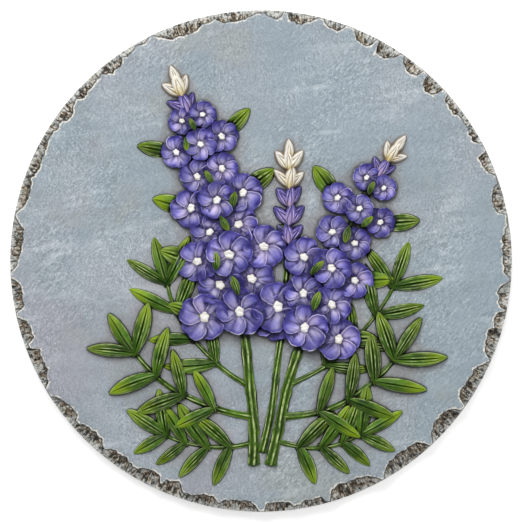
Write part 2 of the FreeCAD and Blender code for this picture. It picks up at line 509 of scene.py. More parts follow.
@dataclass(frozen=True)
class Finish:
    """What every finish has: a name and the start of its material."""

    name: str

    def start(self) -> tuple[bpy.types.Material, Board, bpy.types.Node]:
        """Makes the material.

        Returns:
            The material, its board and its shader node.
        """
        material = bpy.data.materials.new(self.name)
        material.use_nodes = True
        return material, Board(material.node_tree), material.node_tree.nodes["Principled BSDF"]

    @staticmethod
    def emboss(board: Board, shader: bpy.types.Node, height: Input, depth: float) -> None:
        """Feeds the shader's normal from a height, depth metres for each unit."""
        bump = board.add("ShaderNodeBump")
        bump.inputs["Distance"].default_value = depth
        board.feed(bump.inputs["Height"], height)
        board.feed(shader.inputs["Normal"], bump.outputs["Normal"])

    @staticmethod
    def stain_and_shade_depth(board: Board, groove: float, low: float, high: float) -> Socket:
        """Depth of the dark paint and painted shade on a leaf or a bud.

        Args:
            board: the material's board.
            groove: depth in the grooves.
            low: recess in millimetres where the dark colour begins.
            high: recess in millimetres where it is full.

        Returns:
            The depth, from the grooves, the recesses and the walls together.
        """
        depth = board.product(board.mark("groove"), groove)
        depth = board.sum(depth, board.ramp(board.mark("recess"), low, high, 0.0, 0.9))
        return board.sum(depth, board.product(board.mark("sunk"), 0.85))


@dataclass(frozen=True)
class SlateFinish(Finish):
    """Slate-grey paint: brush marks, brown paint and painted shade round the relief, pale lips, broken
    stone.
    """

    name: str = "slate_paint"
    base: Colour = srgb(157, 167, 176)
    light: Colour = srgb(166, 175, 183)
    dark: Colour = srgb(150, 161, 169)
    blue: Colour = srgb(146, 163, 173)
    mauve: Colour = srgb(163, 163, 172)
    olive: Colour = srgb(160, 164, 160)
    fleck: Colour = srgb(218, 224, 227)
    # Painted shade round the relief, with thin brown paint
    halo_wash_and_shade: Colour = srgb(136, 130, 127)
    # Painted shade in a thin dark line where the relief meets the face
    outline: Colour = srgb(44, 42, 40)
    lip: Colour = srgb(234, 231, 220)
    crevice: Colour = srgb(30, 26, 22)
    brown: Colour = srgb(103, 88, 69)
    tan: Colour = srgb(155, 141, 118)
    shale: Colour = srgb(62, 59, 54)
    ash: Colour = srgb(124, 125, 120)
    grey: Colour = srgb(168, 172, 170)
    chalk: Colour = srgb(220, 219, 213)
    cement: Colour = srgb(150, 148, 142)

    def _face(self, board: Board, effects: Effects, place: Input) -> tuple[Input, Input]:
        """Painted face.

        Args:
            board: the material's board.
            effects: the shared groups.
            place: Object coordinates.

        Returns:
            Its colour and its height.
        """
        paint = board.group(effects.mottle, Vector=place, Base=self.base, Light=self.light, Dark=self.dark,
                            Patch=28.0, Grain=800.0)
        upright = board.noise(board.stretch(place, (1.0, 0.42, 1.0), 8.0), 900.0, 2.0, 1.2)
        slanted = board.noise(board.stretch(place, (1.0, 0.34, 1.0), -40.0), 850.0, 2.0, 0.9)
        tide = board.noise(place, 11.0, 3.0)
        worn = board.noise(place, 30.0, 3.0)
        cloud = board.noise(place, 120.0, 3.0)
        specks = board.noise(place, 900.0, 1.0)
        sway = board.ramp(board.noise(place, 20.0, 2.0), 0.42, 0.58)
        strokes = board.blend(sway, upright, slanted)
        rising = board.noise(board.stretch(place, (1.0, 0.16, 1.0), -36.0), 900.0, 2.0, 0.4)
        falling = board.noise(board.stretch(place, (1.0, 0.16, 1.0), 44.0), 900.0, 2.0, 0.4)
        scratches = board.blend(sway, falling, rising)
        scraped = board.noise(board.stretch(place, (1.0, 1.0, 1.0), 71.0), 24.0, 3.0)
        broad = board.noise(board.stretch(place, (0.22, 1.0, 1.0), 9.0), 130.0, 4.0, 0.5)
        colour = board.mix(board.ramp(tide, 0.45, 0.65, 0.0, 0.6), paint.outputs["Colour"], self.blue)
        colour = board.mix(board.ramp(tide, 0.32, 0.46, 0.7, 0.0), colour, self.mauve)
        colour = board.mix(board.ramp(scraped, 0.28, 0.50, 0.6, 0.0), colour, self.olive)
        colour = board.bright(colour, board.ramp(broad, 0.3, 0.7, 0.955, 1.045))
        depth = board.ramp(strokes, 0.28, 0.72, -0.20, 0.19)
        depth = board.product(depth, board.ramp(worn, 0.38, 0.58, 0.5, 1.1))
        colour = board.bright(colour, board.sum(depth, 1.0))
        catches = (
            (board.ramp(strokes, 0.57, 0.70), board.ramp(worn, 0.48, 0.66, 0.0, 0.40)),
            (board.ramp(broad, 0.57, 0.70), board.ramp(worn, 0.42, 0.60, 0.0, 0.30)),
            (board.ramp(specks, 0.63, 0.72), board.ramp(worn, 0.40, 0.62, 0.2, 0.75)),
            (board.ramp(scratches, 0.60, 0.70), board.ramp(scraped, 0.50, 0.62, 0.04, 0.42)),
        )
        for marked, share in catches:
            colour = board.mix(board.product(marked, share), colour, self.fleck)
        # Painted shade: the face darkens towards the raised forms, and a thin dark line follows where they
        # meet it; brown paint lies there too.
        shade = board.sum(board.mark("shade"), board.ramp(cloud, 0.2, 0.8, -0.5, 0.5))
        colour = effects.washed_and_shaded(board, place, colour, self.halo_wash_and_shade, board.ramp(shade, 0.5, 2.6, 0.0, 0.55))
        contact = board.ramp(board.mark("contact"), 0.9, 2.6, 0.0, 0.38)
        colour = effects.washed_and_shaded(board, place, colour, self.outline, contact)
        return colour, board.sum(board.product(strokes, 0.6), paint.outputs["Height"])

    def _broken(self, board: Board, skin: Input) -> Input:
        """Colour of the broken stone: brown in the deep of a bite, ashen round it, pale on the grains, near
        black in crevices as painted shade.
        """
        fine = board.noise(skin, 1500.0, 2.0)
        drawn = board.noise(board.stretch(skin, (1.0, 1.0, 0.4)), 950.0, 2.0)
        patchy = board.noise(skin, 230.0, 3.0)
        cracks = board.noise(skin, 420.0, 2.0)
        deep = board.mark("brown")
        grit = board.sum(board.mark("grit"), board.ramp(fine, 0.25, 0.75, -0.27, 0.27))
        grit = board.sum(grit, board.ramp(drawn, 0.28, 0.72, -0.34, 0.34))
        grit = board.sum(grit, board.ramp(cracks, 0.30, 0.42, -0.65, 0.08))
        grit = board.sum(grit, board.ramp(deep, 0.0, 0.6, 0.24, -0.04))
        # Grit follows the height of the broken stone: its crevices are painted near black, partly as painted
        # shade.
        earthy = board.bands(grit, ((0.10, self.crevice), (0.32, self.brown), (0.60, self.tan),
                                    (0.95, self.chalk)))
        ashen = board.bands(grit, ((0.0, self.shale), (0.20, self.ash), (0.46, self.grey),
                                   (0.84, self.chalk)))
        kind = board.sum(deep, board.ramp(board.mark("pebble"), 0.0, 1.0, -0.3, 0.3))
        kind = board.sum(kind, board.ramp(patchy, 0.3, 0.7, -0.5, 0.5))
        return board.mix(board.ramp(kind, 0.30, 0.95), ashen, earthy)

    def material(self, effects: Effects) -> bpy.types.Material:
        """Builds the material.

        Args:
            effects: the shared groups.

        Returns:
            The material.
        """
        material, board, shader = self.start()
        place, skin = board.place(), board.skin()
        face, brushed = self._face(board, effects, place)
        gap = board.mark("lip_gap")
        wobble = board.noise(place, 600.0, 2.0)
        patchy = board.noise(place, 110.0, 2.0)
        ragged = board.sum(gap, board.ramp(wobble, 0.25, 0.75, -0.35, 0.35))
        near = board.product(board.ramp(ragged, -1.25, -0.50), board.ramp(gap, 0.0, 0.35, 1.0, 0.0))
        near = board.product(near, board.ramp(patchy, 0.36, 0.60, 0.35, 1.0))
        verge = board.product(board.mark("verge"), board.ramp(wobble, 0.35, 0.65, 0.2, 0.8))
        near = board.sum(near, verge, "MAXIMUM")
        edged = effects.edged(board, place, face, self.lip, near, 800.0)
        broken = self._broken(board, skin)
        # Painted shade: the steep wall just under the lip is painted near black, partly as a dark paint
        # line.
        wall = board.product(board.ramp(gap, 0.1, 0.35), board.ramp(gap, 0.5, 1.5, 0.8, 0.0))
        broken = board.mix(wall, broken, self.crevice)
        chipped = board.ramp(ragged, 0.0, 0.35)
        colour = board.mix(chipped, edged, broken)
        under = board.group(effects.mottle, Vector=place, Base=self.cement, Light=self.grey, Dark=self.ash,
                            Patch=60.0, Grain=700.0)
        side = board.mark("side")
        pits = board.product(side, board.ramp(board.noise(place, 480.0, 3.0), 0.34, 0.44, 1.0, 0.0))
        colour = board.mix(side, colour, under.outputs["Colour"])
        colour = board.mix(board.product(pits, 0.7), colour, self.shale)
        board.feed(shader.inputs["Base Color"], colour)
        rough = board.noise(skin, 1000.0, 3.0)
        height = board.sum(board.product(brushed, 0.5), board.product(chipped, board.product(rough, 2.5)))
        height = board.sum(height, board.product(pits, 1.5), "SUBTRACT")
        board.feed(shader.inputs["Roughness"], board.ramp(wobble, 0.2, 0.8, 0.55, 0.75))
        shader.inputs["Specular IOR Level"].default_value = 0.35
        self.emboss(board, shader, height, 0.0004)
        return material


@dataclass(frozen=True)
class PetalFinish(Finish):
    """Violet petal paint: lilac inside, deeper near the margin, pale at its edge, dark paint and painted
    shade in the recesses.
    """

    name: str = "petal_paint"
    throat: Colour = srgb(44, 36, 88)
    inner: Colour = srgb(198, 189, 225)
    body: Colour = srgb(150, 144, 209)
    outer: Colour = srgb(106, 100, 185)
    tip: Colour = srgb(52, 45, 128)
    rose: Colour = srgb(186, 170, 206)
    edge: Colour = srgb(214, 210, 238)
    # Painted shade in the petals' recesses, with dark paint
    recess_wash_and_shade: Colour = srgb(40, 33, 92)
    # Near black on the skirts below the margins: painted shade, seen as a dark outline
    stain_and_shade: Colour = srgb(22, 18, 46)

    def material(self, effects: Effects) -> bpy.types.Material:
        """Builds the material.

        Args:
            effects: the shared groups.

        Returns:
            The material.
        """
        material, board, shader = self.start()
        place, skin = board.place(), board.skin()
        cloud = board.noise(place, 130.0, 3.0)
        streak = board.noise(board.stretch(skin, (0.12, 1.0, 1.0)), 900.0, 3.0)
        along = board.sum(board.mark("along"), board.ramp(cloud, 0.2, 0.8, -0.20, 0.20))
        colour = board.bands(along, ((0.04, self.throat), (0.28, self.inner), (0.55, self.body),
                                     (0.80, self.outer), (1.0, self.tip)))
        tint = board.mark("tint")
        blush = board.product(board.ramp(tint, 0.5, 1.0, 0.0, 0.8), board.ramp(along, 0.2, 0.9, 1.0, 0.0))
        colour = board.mix(blush, colour, self.rose)
        colour = board.bright(colour, board.ramp(streak, 0.25, 0.75, 0.78, 1.20))
        colour = board.bright(colour, board.ramp(tint, 0.0, 1.0, 0.84, 1.26))
        margin = board.mark("margin")
        inside = board.product(board.ramp(margin, 0.62, 0.88), board.ramp(margin, 0.92, 0.98, 0.55, 0.0))
        colour = board.mix(inside, colour, self.tip)
        # Painted shade: petals that lie below the raised forms round them are darkened.
        recess = board.mark("recess")
        colour = effects.washed_and_shaded(board, place, colour, self.recess_wash_and_shade, board.ramp(recess, 0.0, 1.2, 0.0, 0.97))
        catch = board.product(board.ramp(margin, 0.88, 0.99), board.ramp(recess, -1.4, -0.2, 1.0, 0.25))
        colour = effects.edged(board, place, colour, self.edge, catch, 300.0)
        # Painted shade: the skirt under each margin is painted near black, a dark outline.
        depth = board.ramp(board.mark("sunk"), 0.05, 0.20)
        board.feed(shader.inputs["Base Color"], effects.washed_and_shaded(board, place, colour, self.stain_and_shade, depth))
        board.feed(shader.inputs["Roughness"], board.ramp(cloud, 0.2, 0.8, 0.32, 0.48))
        shader.inputs["Specular IOR Level"].default_value = 0.36
        self.emboss(board, shader, streak, 0.00012)
        return material


@dataclass(frozen=True)
class BudFinish(Finish):
    """Bud paint that runs from foot to tip, with dark paint and painted shade in the folds, pale along the
    edges.
    """

    name: str = "bud_paint"
    foot: Colour = srgb(192, 168, 202)
    middle: Colour = srgb(140, 124, 192)
    tip: Colour = srgb(80, 66, 160)
    edge: Colour = srgb(208, 200, 236)
    # Dark paint in streaks, and painted shade in folds, recesses and on walls
    stain_and_shade: Colour = srgb(40, 32, 82)

    def material(self, effects: Effects) -> bpy.types.Material:
        """Builds the material.

        Args:
            effects: the shared groups.

        Returns:
            The material.
        """
        material, board, shader = self.start()
        place, skin = board.place(), board.skin()
        streak = board.noise(board.stretch(skin, (0.14, 1.0, 1.0)), 1000.0, 3.0)
        cloud = board.noise(place, 160.0, 3.0)
        along = board.sum(board.mark("along"), board.ramp(cloud, 0.2, 0.8, -0.15, 0.15))
        colour = board.bands(along, ((0.08, self.foot), (0.50, self.middle), (0.90, self.tip)))
        colour = board.bright(colour, board.ramp(streak, 0.25, 0.75, 0.84, 1.14))
        colour = board.mix(board.ramp(streak, 0.58, 0.70, 0.0, 0.5), colour, self.edge)
        colour = board.mix(board.ramp(streak, 0.30, 0.42, 0.35, 0.0), colour, self.stain_and_shade)
        colour = effects.edged(board, place, colour, self.edge, board.mark("rim"), 420.0)
        # Painted shade, with thin dark paint: folds, recesses under other forms and walls are darkened.
        depth = self.stain_and_shade_depth(board, 0.7, 0.2, 1.4)
        board.feed(shader.inputs["Base Color"], effects.washed_and_shaded(board, place, colour, self.stain_and_shade, depth))
        board.feed(shader.inputs["Roughness"], board.ramp(cloud, 0.2, 0.8, 0.38, 0.54))
        self.emboss(board, shader, streak, 0.00012)
        return material


@dataclass(frozen=True)
class LeafFinish(Finish):
    """Leaf paint: streaked green, yellow-green at the tips, painted light on one half, dark midribs with
    painted shade, pale dragged edges.
    """

    name: str = "leaf_paint"
    base: Colour = srgb(62, 99, 17)
    light: Colour = srgb(88, 128, 30)
    dark: Colour = srgb(38, 73, 6)
    tip: Colour = srgb(148, 176, 22)
    edge: Colour = srgb(190, 206, 142)
    # Dark paint in lines, and painted shade in grooves, recesses and on walls
    stain_and_shade: Colour = srgb(7, 14, 0)

    def material(self, effects: Effects) -> bpy.types.Material:
        """Builds the material.

        Args:
            effects: the shared groups.

        Returns:
            The material.
        """
        material, board, shader = self.start()
        place, skin = board.place(), board.skin()
        paint = board.group(effects.mottle, Vector=place, Base=self.base, Light=self.light, Dark=self.dark,
                            Patch=90.0, Grain=600.0)
        streak = board.noise(board.stretch(skin, (0.05, 1.0, 1.0)), 1300.0, 2.0)
        lines = board.noise(board.stretch(skin, (0.04, 1.0, 1.0), 1.0), 900.0, 1.0)
        colour = board.bright(paint.outputs["Colour"], board.ramp(streak, 0.28, 0.72, 0.74, 1.24))
        colour = board.mix(board.ramp(lines, 0.30, 0.42, 0.5, 0.0), colour, self.stain_and_shade)
        colour = board.mix(board.ramp(lines, 0.60, 0.72, 0.0, 0.4), colour, self.edge)
        tint, along = board.mark("tint"), board.mark("along")
        colour = board.bright(colour, board.ramp(tint, 0.0, 1.0, 0.80, 1.10))
        colour = board.bright(colour, board.ramp(along, 0.0, 0.45, 0.78, 1.0))
        # Painted light: the half of the leaf that the tilt raises is painted lighter, the other half darker.
        colour = board.bright(colour, board.ramp(board.mark("half"), -1.0, 1.0, 0.76, 1.24))
        ends = board.product(board.ramp(along, 0.45, 0.95), board.ramp(tint, 0.0, 1.0, 0.35, 0.9))
        colour = board.mix(ends, colour, self.tip)
        colour = effects.edged(board, place, colour, self.edge, board.mark("rim"), 260.0)
        # Painted shade, with thin dark paint: grooves, recesses under other forms and walls are darkened.
        depth = self.stain_and_shade_depth(board, 0.85, 0.5, 1.8)
        board.feed(shader.inputs["Base Color"], effects.washed_and_shaded(board, place, colour, self.stain_and_shade, depth))
        board.feed(shader.inputs["Roughness"], board.ramp(streak, 0.2, 0.8, 0.30, 0.48))
        shader.inputs["Specular IOR Level"].default_value = 0.22
        self.emboss(board, shader, streak, 0.0003)
        return material


@dataclass(frozen=True)
class Arc:
    """Arc on the face from foot to tip, standing off its chord by bow to the left.

    The circle has the radius (h^2 + b^2) / 2b for half the chord h and the bow b.
    """

    foot: tuple[float, float]
    tip: tuple[float, float]
    bow: float

    def _circle(self) -> tuple[Array, float, float, float]:
        """Centre, radius, starting angle and sweep of the arc."""
        foot, tip = np.array(self.foot, float), np.array(self.tip, float)
        chord = tip - foot
        half = np.linalg.norm(chord) / 2
        radius = (half ** 2 + self.bow ** 2) / (2 * abs(self.bow))
        left = np.array((-chord[1], chord[0])) / (2 * half)
        centre = foot + chord / 2 + left * (self.bow - math.copysign(radius, self.bow))
        start = math.atan2(*(foot - centre)[::-1])
        end = math.atan2(*(tip - centre)[::-1])
        return centre, radius, start, (end - start + math.pi) % (2 * math.pi) - math.pi

    def length(self) -> float:
        """Length of the arc."""
        _, radius, _, sweep = self._circle()
        return radius * abs(sweep)

    def at(self, shares: Array) -> tuple[Array, Array]:
        """Places along the arc.

        Args:
            shares: shares of the way from foot to tip.

        Returns:
            The places, and the headings there in radians.
        """
        centre, radius, start, sweep = self._circle()
        angles = start + sweep * np.asarray(shares, float)
        return centre + radius * directions(angles), angles + math.copysign(math.pi / 2, sweep)


@dataclass(frozen=True)
class Blades:
    """Places of leaf-like forms: foot, heading in radians, size and lift of each."""

    feet: Array
    headings: Array
    scales: Array
    lifts: Array


@dataclass(frozen=True)
class BladeForm:
    """Leaf-like form: a closed section carried from foot to tip.

    At a share u of the length, half the width goes as u^waist (1 - u)^point. The top is worked out from u
    and v, the share across from -1 to 1. The walls stand out by the draft as they go down, as a mould needs
    it, and end inside the slab. Each point of the wall is given as a share of the draft and of the way down.
    """

    length: float
    width: float
    height: float
    waist: float = 0.90
    point: float = 0.78
    groove: float = 0.85
    bend: float = 0.12
    tilt: float = 0.20
    slim: float = 0.14
    lap: float = 2.5
    hidden: float = 0.0
    draft: float = 0.75
    rows: int = 34
    across: int = 33
    wall: tuple[tuple[float, float], ...] = ((0.35, 0.18), (0.7, 0.45), (1.0, 0.78))

    def half_width(self, u: Array) -> Array:
        """Half the width at a share u of the length: u^waist (1 - u)^point, per its largest value."""
        widest = self.waist / (self.waist + self.point)
        largest = widest ** self.waist * (1 - widest) ** self.point
        return self.width / 2 * u ** self.waist * np.clip(1 - u, 0, 1) ** self.point / largest

    def top(self, u: Array, v: Array, ribbed: Array) -> Array:
        """Height of a leaf: arched along, with a deep groove in the middle, and two more between four ribs.

        Args:
            u: shares along the leaf.
            v: shares across it.
            ribbed: how far each leaf has ribs, from 0 to 1.

        Returns:
            Heights above the face.
        """
        arch = 0.66 + 0.50 * np.sin(np.pi * u) ** 0.9 - 0.18 * u
        ribs = 1 - 0.30 * v ** 2 - 0.14 * np.abs(v) ** 10
        ribs = ribs + (0.08 + 0.14 * ribbed) * np.abs(np.sin(2 * np.pi * v)) ** 0.7
        fold = self.groove * np.exp(-(v / 0.08) ** 2) * np.sin(np.pi * u) ** 0.4
        rising = 0.15 + 0.85 * ease(u, self.hidden - 0.35, self.hidden + 0.15) if self.hidden else 1.0
        return (self.height * arch * ribs - fold) * rising

    def groove_mark(self, u: Array, v: Array, ribbed: Array) -> Array:
        """Where thin dark paint and painted shade lie: along the middle, and between the ribs of a ribbed
        leaf.
        """
        between = ribbed * np.exp(-((np.abs(v) - 0.5) / 0.075) ** 2) * np.sin(np.pi * u) ** 0.6
        return 1.1 * np.exp(-(v / 0.085) ** 2) * np.sin(np.pi * u) ** 0.3 + between

    def rim_mark(self, u: Array, v: Array, ribbed: Array) -> Array:
        """Where pale paint was dragged: along the margin, and along the ribs beside the grooves."""
        beside = np.exp(-((np.abs(v) - 0.24) / 0.07) ** 2) * (0.45 + 0.3 * ribbed)
        outer = np.exp(-((np.abs(v) - 0.72) / 0.07) ** 2) * 0.65 * ribbed
        return np.maximum(ease(np.abs(v), 0.80, 1.0), np.maximum(beside, outer) * ease(u, 0.05, 0.4))

    def section(self) -> tuple[Array, Array, Array]:
        """One loop round the section: over the top, down one wall, back below and up the other wall.

        Returns:
            Places across from -1 to 1, shares of the draft to each side, and shares of the way down.
        """
        s = np.linspace(-1, 1, self.across)
        out, down = np.array(self.wall).T
        edge = np.ones(len(out))
        across = np.concatenate([s * (0.55 + 0.45 * s ** 2), edge, (0.6, -0.6), -edge])
        spread = np.concatenate([np.zeros(self.across), out, (0, 0), -out[::-1]])
        return across, spread, np.concatenate([np.zeros(self.across), down, (1, 1), down[::-1]])

    def grow(self, places: Blades, seed: int) -> Shells:
        """Works out all the forms of one kind.

        Args:
            places: where they grow.
            seed: start of the random draws.

        Returns:
            One shell for each form.
        """
        draw = np.random.default_rng(seed)
        count = len(places.feet)
        bend, tilt, tint, ribbed, slim = (draw.uniform(-1, 1, (count, 1, 1)) for _ in range(5))
        # Which half is painted lighter as painted light: the half that the tilt raises
        painted_light_side = np.sign(tilt) * draw.uniform(0.2, 1.0, (count, 1, 1))
        ribbed = ease(ribbed, -0.7, 0.1)
        u = ((1 - np.cos(np.pi * np.linspace(0, 1, self.rows))) / 2)[None, :, None]
        v, spread, down = (column[None, None] for column in self.section())
        half = self.half_width(u) * (1 + self.slim * slim)
        scale = places.scales[:, None, None]
        x = scale * u * self.length - self.lap + self.draft * np.abs(spread) * (2 * u - 1)
        y = scale * (v * half + self.bend * bend * self.length * u ** 2) + self.draft * spread
        lift = FACE + places.lifts[:, None, None]
        high = lift + scale * self.top(u, v, ribbed) + self.tilt * tilt * v * half
        z = high * (1 - down) + ROOT * down
        ahead = directions(places.headings)[:, None, None]
        flat = places.feet[:, None, None] + x[..., None] * ahead + y[..., None] * leftward(ahead)
        apart = 37.0 * np.arange(count)[:, None, None]
        marks = {
            "along": u,
            "rim": self.rim_mark(u, v, ribbed) * (down == 0),
            "groove": self.groove_mark(u, v, ribbed),
            # sunk darkens the walls as painted shade, which shows as a thin outline round each form
            "sunk": ease(down, 0.0, 0.4),
            # painted light: positive on the raised half, negative on the lower one
            "half": painted_light_side * np.tanh(6 * v),
            "tint": (tint + 1) / 2,
            "skin": np.stack(np.broadcast_arrays(x, y, apart), axis=-1) * MM,
        }
        return Shells(lifted(flat, z), marks)


@dataclass(frozen=True)
class BudForm(BladeForm):
    """Closed bud: a round back with two folds that meet at the tip."""

    waist: float = 0.66
    point: float = 0.80
    bend: float = 0.10
    tilt: float = 0.10
    folds: float = 0.8

    def _fold(self, u: Array, v: Array) -> Array:
        """Closeness to the two folds, which lie at v = +-0.62(1 - u)."""
        return np.exp(-((np.abs(v) - 0.62 * (1 - u)) / 0.10) ** 2) * np.sin(np.pi * u) ** 0.5

    def top(self, u: Array, v: Array, ribbed: Array) -> Array:
        """Height of a bud: a dome across, full near the foot, with two folds cut in.

        Args:
            u: shares along the bud.
            v: shares across it.
            ribbed: how far each bud has ribs; not used, as buds show none.

        Returns:
            Heights above the face.
        """
        arch = 0.60 + 0.62 * np.sin(np.pi * u ** 0.8) ** 0.9 - 0.12 * u
        dome = 0.35 + 0.65 * np.sqrt(np.clip(1 - 0.96 * v ** 2, 0, 1))
        return self.height * arch * dome - self.folds * self._fold(u, v)

    def groove_mark(self, u: Array, v: Array, ribbed: Array) -> Array:
        """Where thin dark paint and painted shade lie: in the folds, whether the bud is ribbed or not."""
        return self._fold(u, v)

    def rim_mark(self, u: Array, v: Array, ribbed: Array) -> Array:
        """Where pale paint was dragged: along the margin and beside the folds."""
        beside = np.exp(-((np.abs(v) - 0.62 * (1 - u) - 0.22) / 0.08) ** 2) * ease(u, 0.05, 0.4)
        return np.maximum(ease(np.abs(v), 0.80, 1.0), 0.8 * beside)


@dataclass(frozen=True)
class Florets:
    """Places of open florets: centre, height of the hollow, size, turn, side heading and lean of each."""

    centres: Array
    rises: Array
    sizes: Array
    turns: Array
    side_headings: Array
    leans: Array

    def without(self, numbers: tuple[int, ...]) -> "Florets":
        """The florets but those with the given numbers."""
        return Florets(*(np.delete(getattr(self, field.name), numbers, axis=0) for field in fields(self)))

    def lowered(self, offsets: Array) -> Array:
        """How far the lean lowers a place.

        Args:
            offsets: places from the centres, indexed by floret first and by axis last.

        Returns:
            Heights to take away, as the offset towards the side times the tangent of the lean.
        """
        spread = (slice(None),) + (None,) * (offsets.ndim - 2)
        sideways = (offsets * directions(self.side_headings)[spread]).sum(axis=-1)
        return np.tan(self.leans)[spread] * sideways


@dataclass(frozen=True)
class PetalForm:
    """Petals of open florets, each a rounded cushion with walls that run down and in to the slab.

    With R half the floret's size, a petal's outline is an egg: its middle lies 0.54 R out, it is 0.47 R long
    and 0.51 R (1 + 0.2 cos a) wide to each side at the angle a, made uneven by two sines and notched at the
    tip.
    """

    petals: int = 5
    cup: float = math.radians(11)
    twist: float = 0.17
    skirt: float = 0.55
    rings: int = 11
    columns: int = 40

    def _outline(self, radius: Array, draw: np.random.Generator) -> tuple[Array, Array, Array]:
        """Egg outlines.

        Args:
            radius: half the floret's size, for each floret and petal.
            draw: source of the random phases.

        Returns:
            The egg's middle, and the outline along and across from there.
        """
        angle = np.linspace(0, 2 * np.pi, self.columns, endpoint=False)
        radius = radius[..., None]
        phase = draw.uniform(0, 2 * np.pi, radius.shape + (2,))
        away = np.minimum(angle, 2 * np.pi - angle)
        uneven = 1 + 0.030 * np.sin(5 * angle + phase[..., 0]) + 0.016 * np.sin(11 * angle + phase[..., 1])
        uneven = uneven - 0.09 * np.exp(-(away / 0.20) ** 2)
        longer, wider = (draw.uniform(0.93, 1.07, radius.shape) for _ in range(2))
        length = 0.47 * radius * np.cos(angle) * uneven * longer
        width = 0.51 * radius * np.sin(angle) * (1 + 0.2 * np.cos(angle)) * uneven * wider
        return 0.54 * radius, length, width

    def _top(self, x: Array, y: Array, t: Array, radius: Array, draw: np.random.Generator) -> Array:
        """Height above the hollow: a cup that droops at the tip, raised sides, a twist, a crease and a lip.

        Args:
            x: places out from the floret's centre.
            y: places across the petal.
            t: shares of the way from the petal's middle to its margin.
            radius: half the floret's size.
            draw: source of the differences between petals.

        Returns:
            The heights.
        """
        out, side = x / radius, y / radius
        steep, rolled, turned = (draw.uniform(-1, 1, radius.shape) for _ in range(3))
        roll = 0.24 + 0.10 * rolled
        cup = math.tan(self.cup) * out * (1.3 + 0.3 * steep) - roll * np.clip(out - 0.5, 0, None) ** 1.6
        raised = roll * side ** 2 * out + self.twist * (1 + 0.4 * turned) * side
        crease = -0.045 * np.exp(-(side / 0.06) ** 2) * ease(out, 0.1, 0.45) * (1 - ease(out, 0.72, 0.95))
        wave = 0.026 * np.sin(9 * side + 5 * out + 3 * turned) * ease(out, 0.45, 0.9)
        lip = 0.028 * np.exp(-((1 - t) / 0.08) ** 2)
        return radius * (cup + raised + crease + wave + lip)

    def grow(self, florets: Florets, seed: int) -> Shells:
        """Works out all petals of the florets.

        Args:
            florets: where the florets are.
            seed: start of the random draws.

        Returns:
            One shell for each petal.
        """
        draw = np.random.default_rng(seed)
        count = len(florets.sizes)
        radius = florets.sizes[:, None] / 2 * draw.uniform(0.96, 1.06, (count, self.petals))
        middle, length, width = self._outline(radius, draw)
        turn = florets.turns[:, None] + 2 * np.pi / self.petals * np.arange(self.petals)
        turn = turn + draw.uniform(-0.09, 0.09, turn.shape)
        tint = draw.random(turn.shape)
        share = 1 - (1 - np.linspace(0, 1, self.rings)) ** 1.4
        t = np.append(share, (1.0, 1.0, 1.0, 1.0, 0.0))[:, None]
        inwards = np.append(np.ones(self.rings + 2), (0.94, 0.78, 0.78))[:, None]
        down = np.append(np.zeros(self.rings), (0.05, 0.22, 0.5, 1.0, 1.0))[:, None]
        skirt = self.skirt * np.append(np.zeros(self.rings), (0.4, 1.0, 1.0, 0.5, 0.0))[:, None]
        reach = t + skirt / np.hypot(length, width)[..., None, :]
        x = (middle[..., None, :] + reach * length[..., None, :]) * inwards
        y = reach * width[..., None, :] * inwards
        ahead = directions(turn)[:, :, None, None]
        offset = x[..., None] * ahead + y[..., None] * leftward(ahead)
        high = self._top(x / inwards, y / inwards, t, radius[..., None, None], draw)
        high = FACE + florets.rises[:, None, None, None] + high - florets.lowered(offset)
        z = high * (1 - down) + ROOT * down
        points = lifted(florets.centres[:, None, None, None] + offset, z)
        shape = points.shape[:4]
        number = np.arange(count * self.petals).reshape(count, self.petals, 1, 1)
        marks = {
            "along": x / radius[..., None, None],
            "margin": np.broadcast_to(t, shape),
            # sunk marks the skirt and walls, which are painted dark as painted shade
            "sunk": np.broadcast_to(down, shape),
            "tint": np.broadcast_to(tint[..., None, None], shape),
            "skin": np.stack([x, y, np.broadcast_to(41.0 * number, shape)], axis=-1) * MM,
        }
        joined = (count * self.petals,)
        return Shells(
            points.reshape(joined + points.shape[2:]),
            {name: values.reshape(joined + values.shape[2:]) for name, values in marks.items()},
        )


@dataclass(frozen=True)
class EyeForm:
    """Eyes of the florets: lobed domes of the radius r(1 + 0.09 cos 5a + 0.10 cos 2a) at the angle a."""

    radius_share: float = 0.21
    height: float = 1.9
    rings: int = 7
    columns: int = 30

    def grow(self, florets: Florets) -> Shells:
        """Works out the eyes.

        Args:
            florets: where the florets are.

        Returns:
            One shell for each eye.
        """
        angle = np.linspace(0, 2 * np.pi, self.columns, endpoint=False)
        share = np.linspace(0, 1, self.rings)
        t = np.append(share, (1.0, 0.0))[None, :, None]
        down = np.append(np.zeros(self.rings), (1.0, 1.0))[None, :, None]
        around = angle - florets.turns[:, None, None]
        lobes = 1 + 0.09 * np.cos(5 * around) + 0.10 * np.cos(2 * around)
        radius = self.radius_share * florets.sizes[:, None, None] / 2 * lobes * t
        offset = radius[..., None] * directions(angle)[None, None]
        dome = 0.45 + 0.55 * np.sqrt(np.clip(1 - t ** 3, 0, 1)) - 0.20 * np.exp(-(t / 0.25) ** 2)
        high = FACE + florets.rises[:, None, None] + self.height * dome - florets.lowered(offset)
        z = high - down * self.height * 1.4
        points = lifted(florets.centres[:, None, None] + offset, z)
        plain = np.zeros((1, 1, 1))
        # sunk darkens the wall below the dome as painted shade
        marks = {"along": 1 - 0.35 * t, "rim": plain, "groove": plain, "sunk": down, "tint": plain,
                 "skin": points * MM}
        return Shells(points, marks)


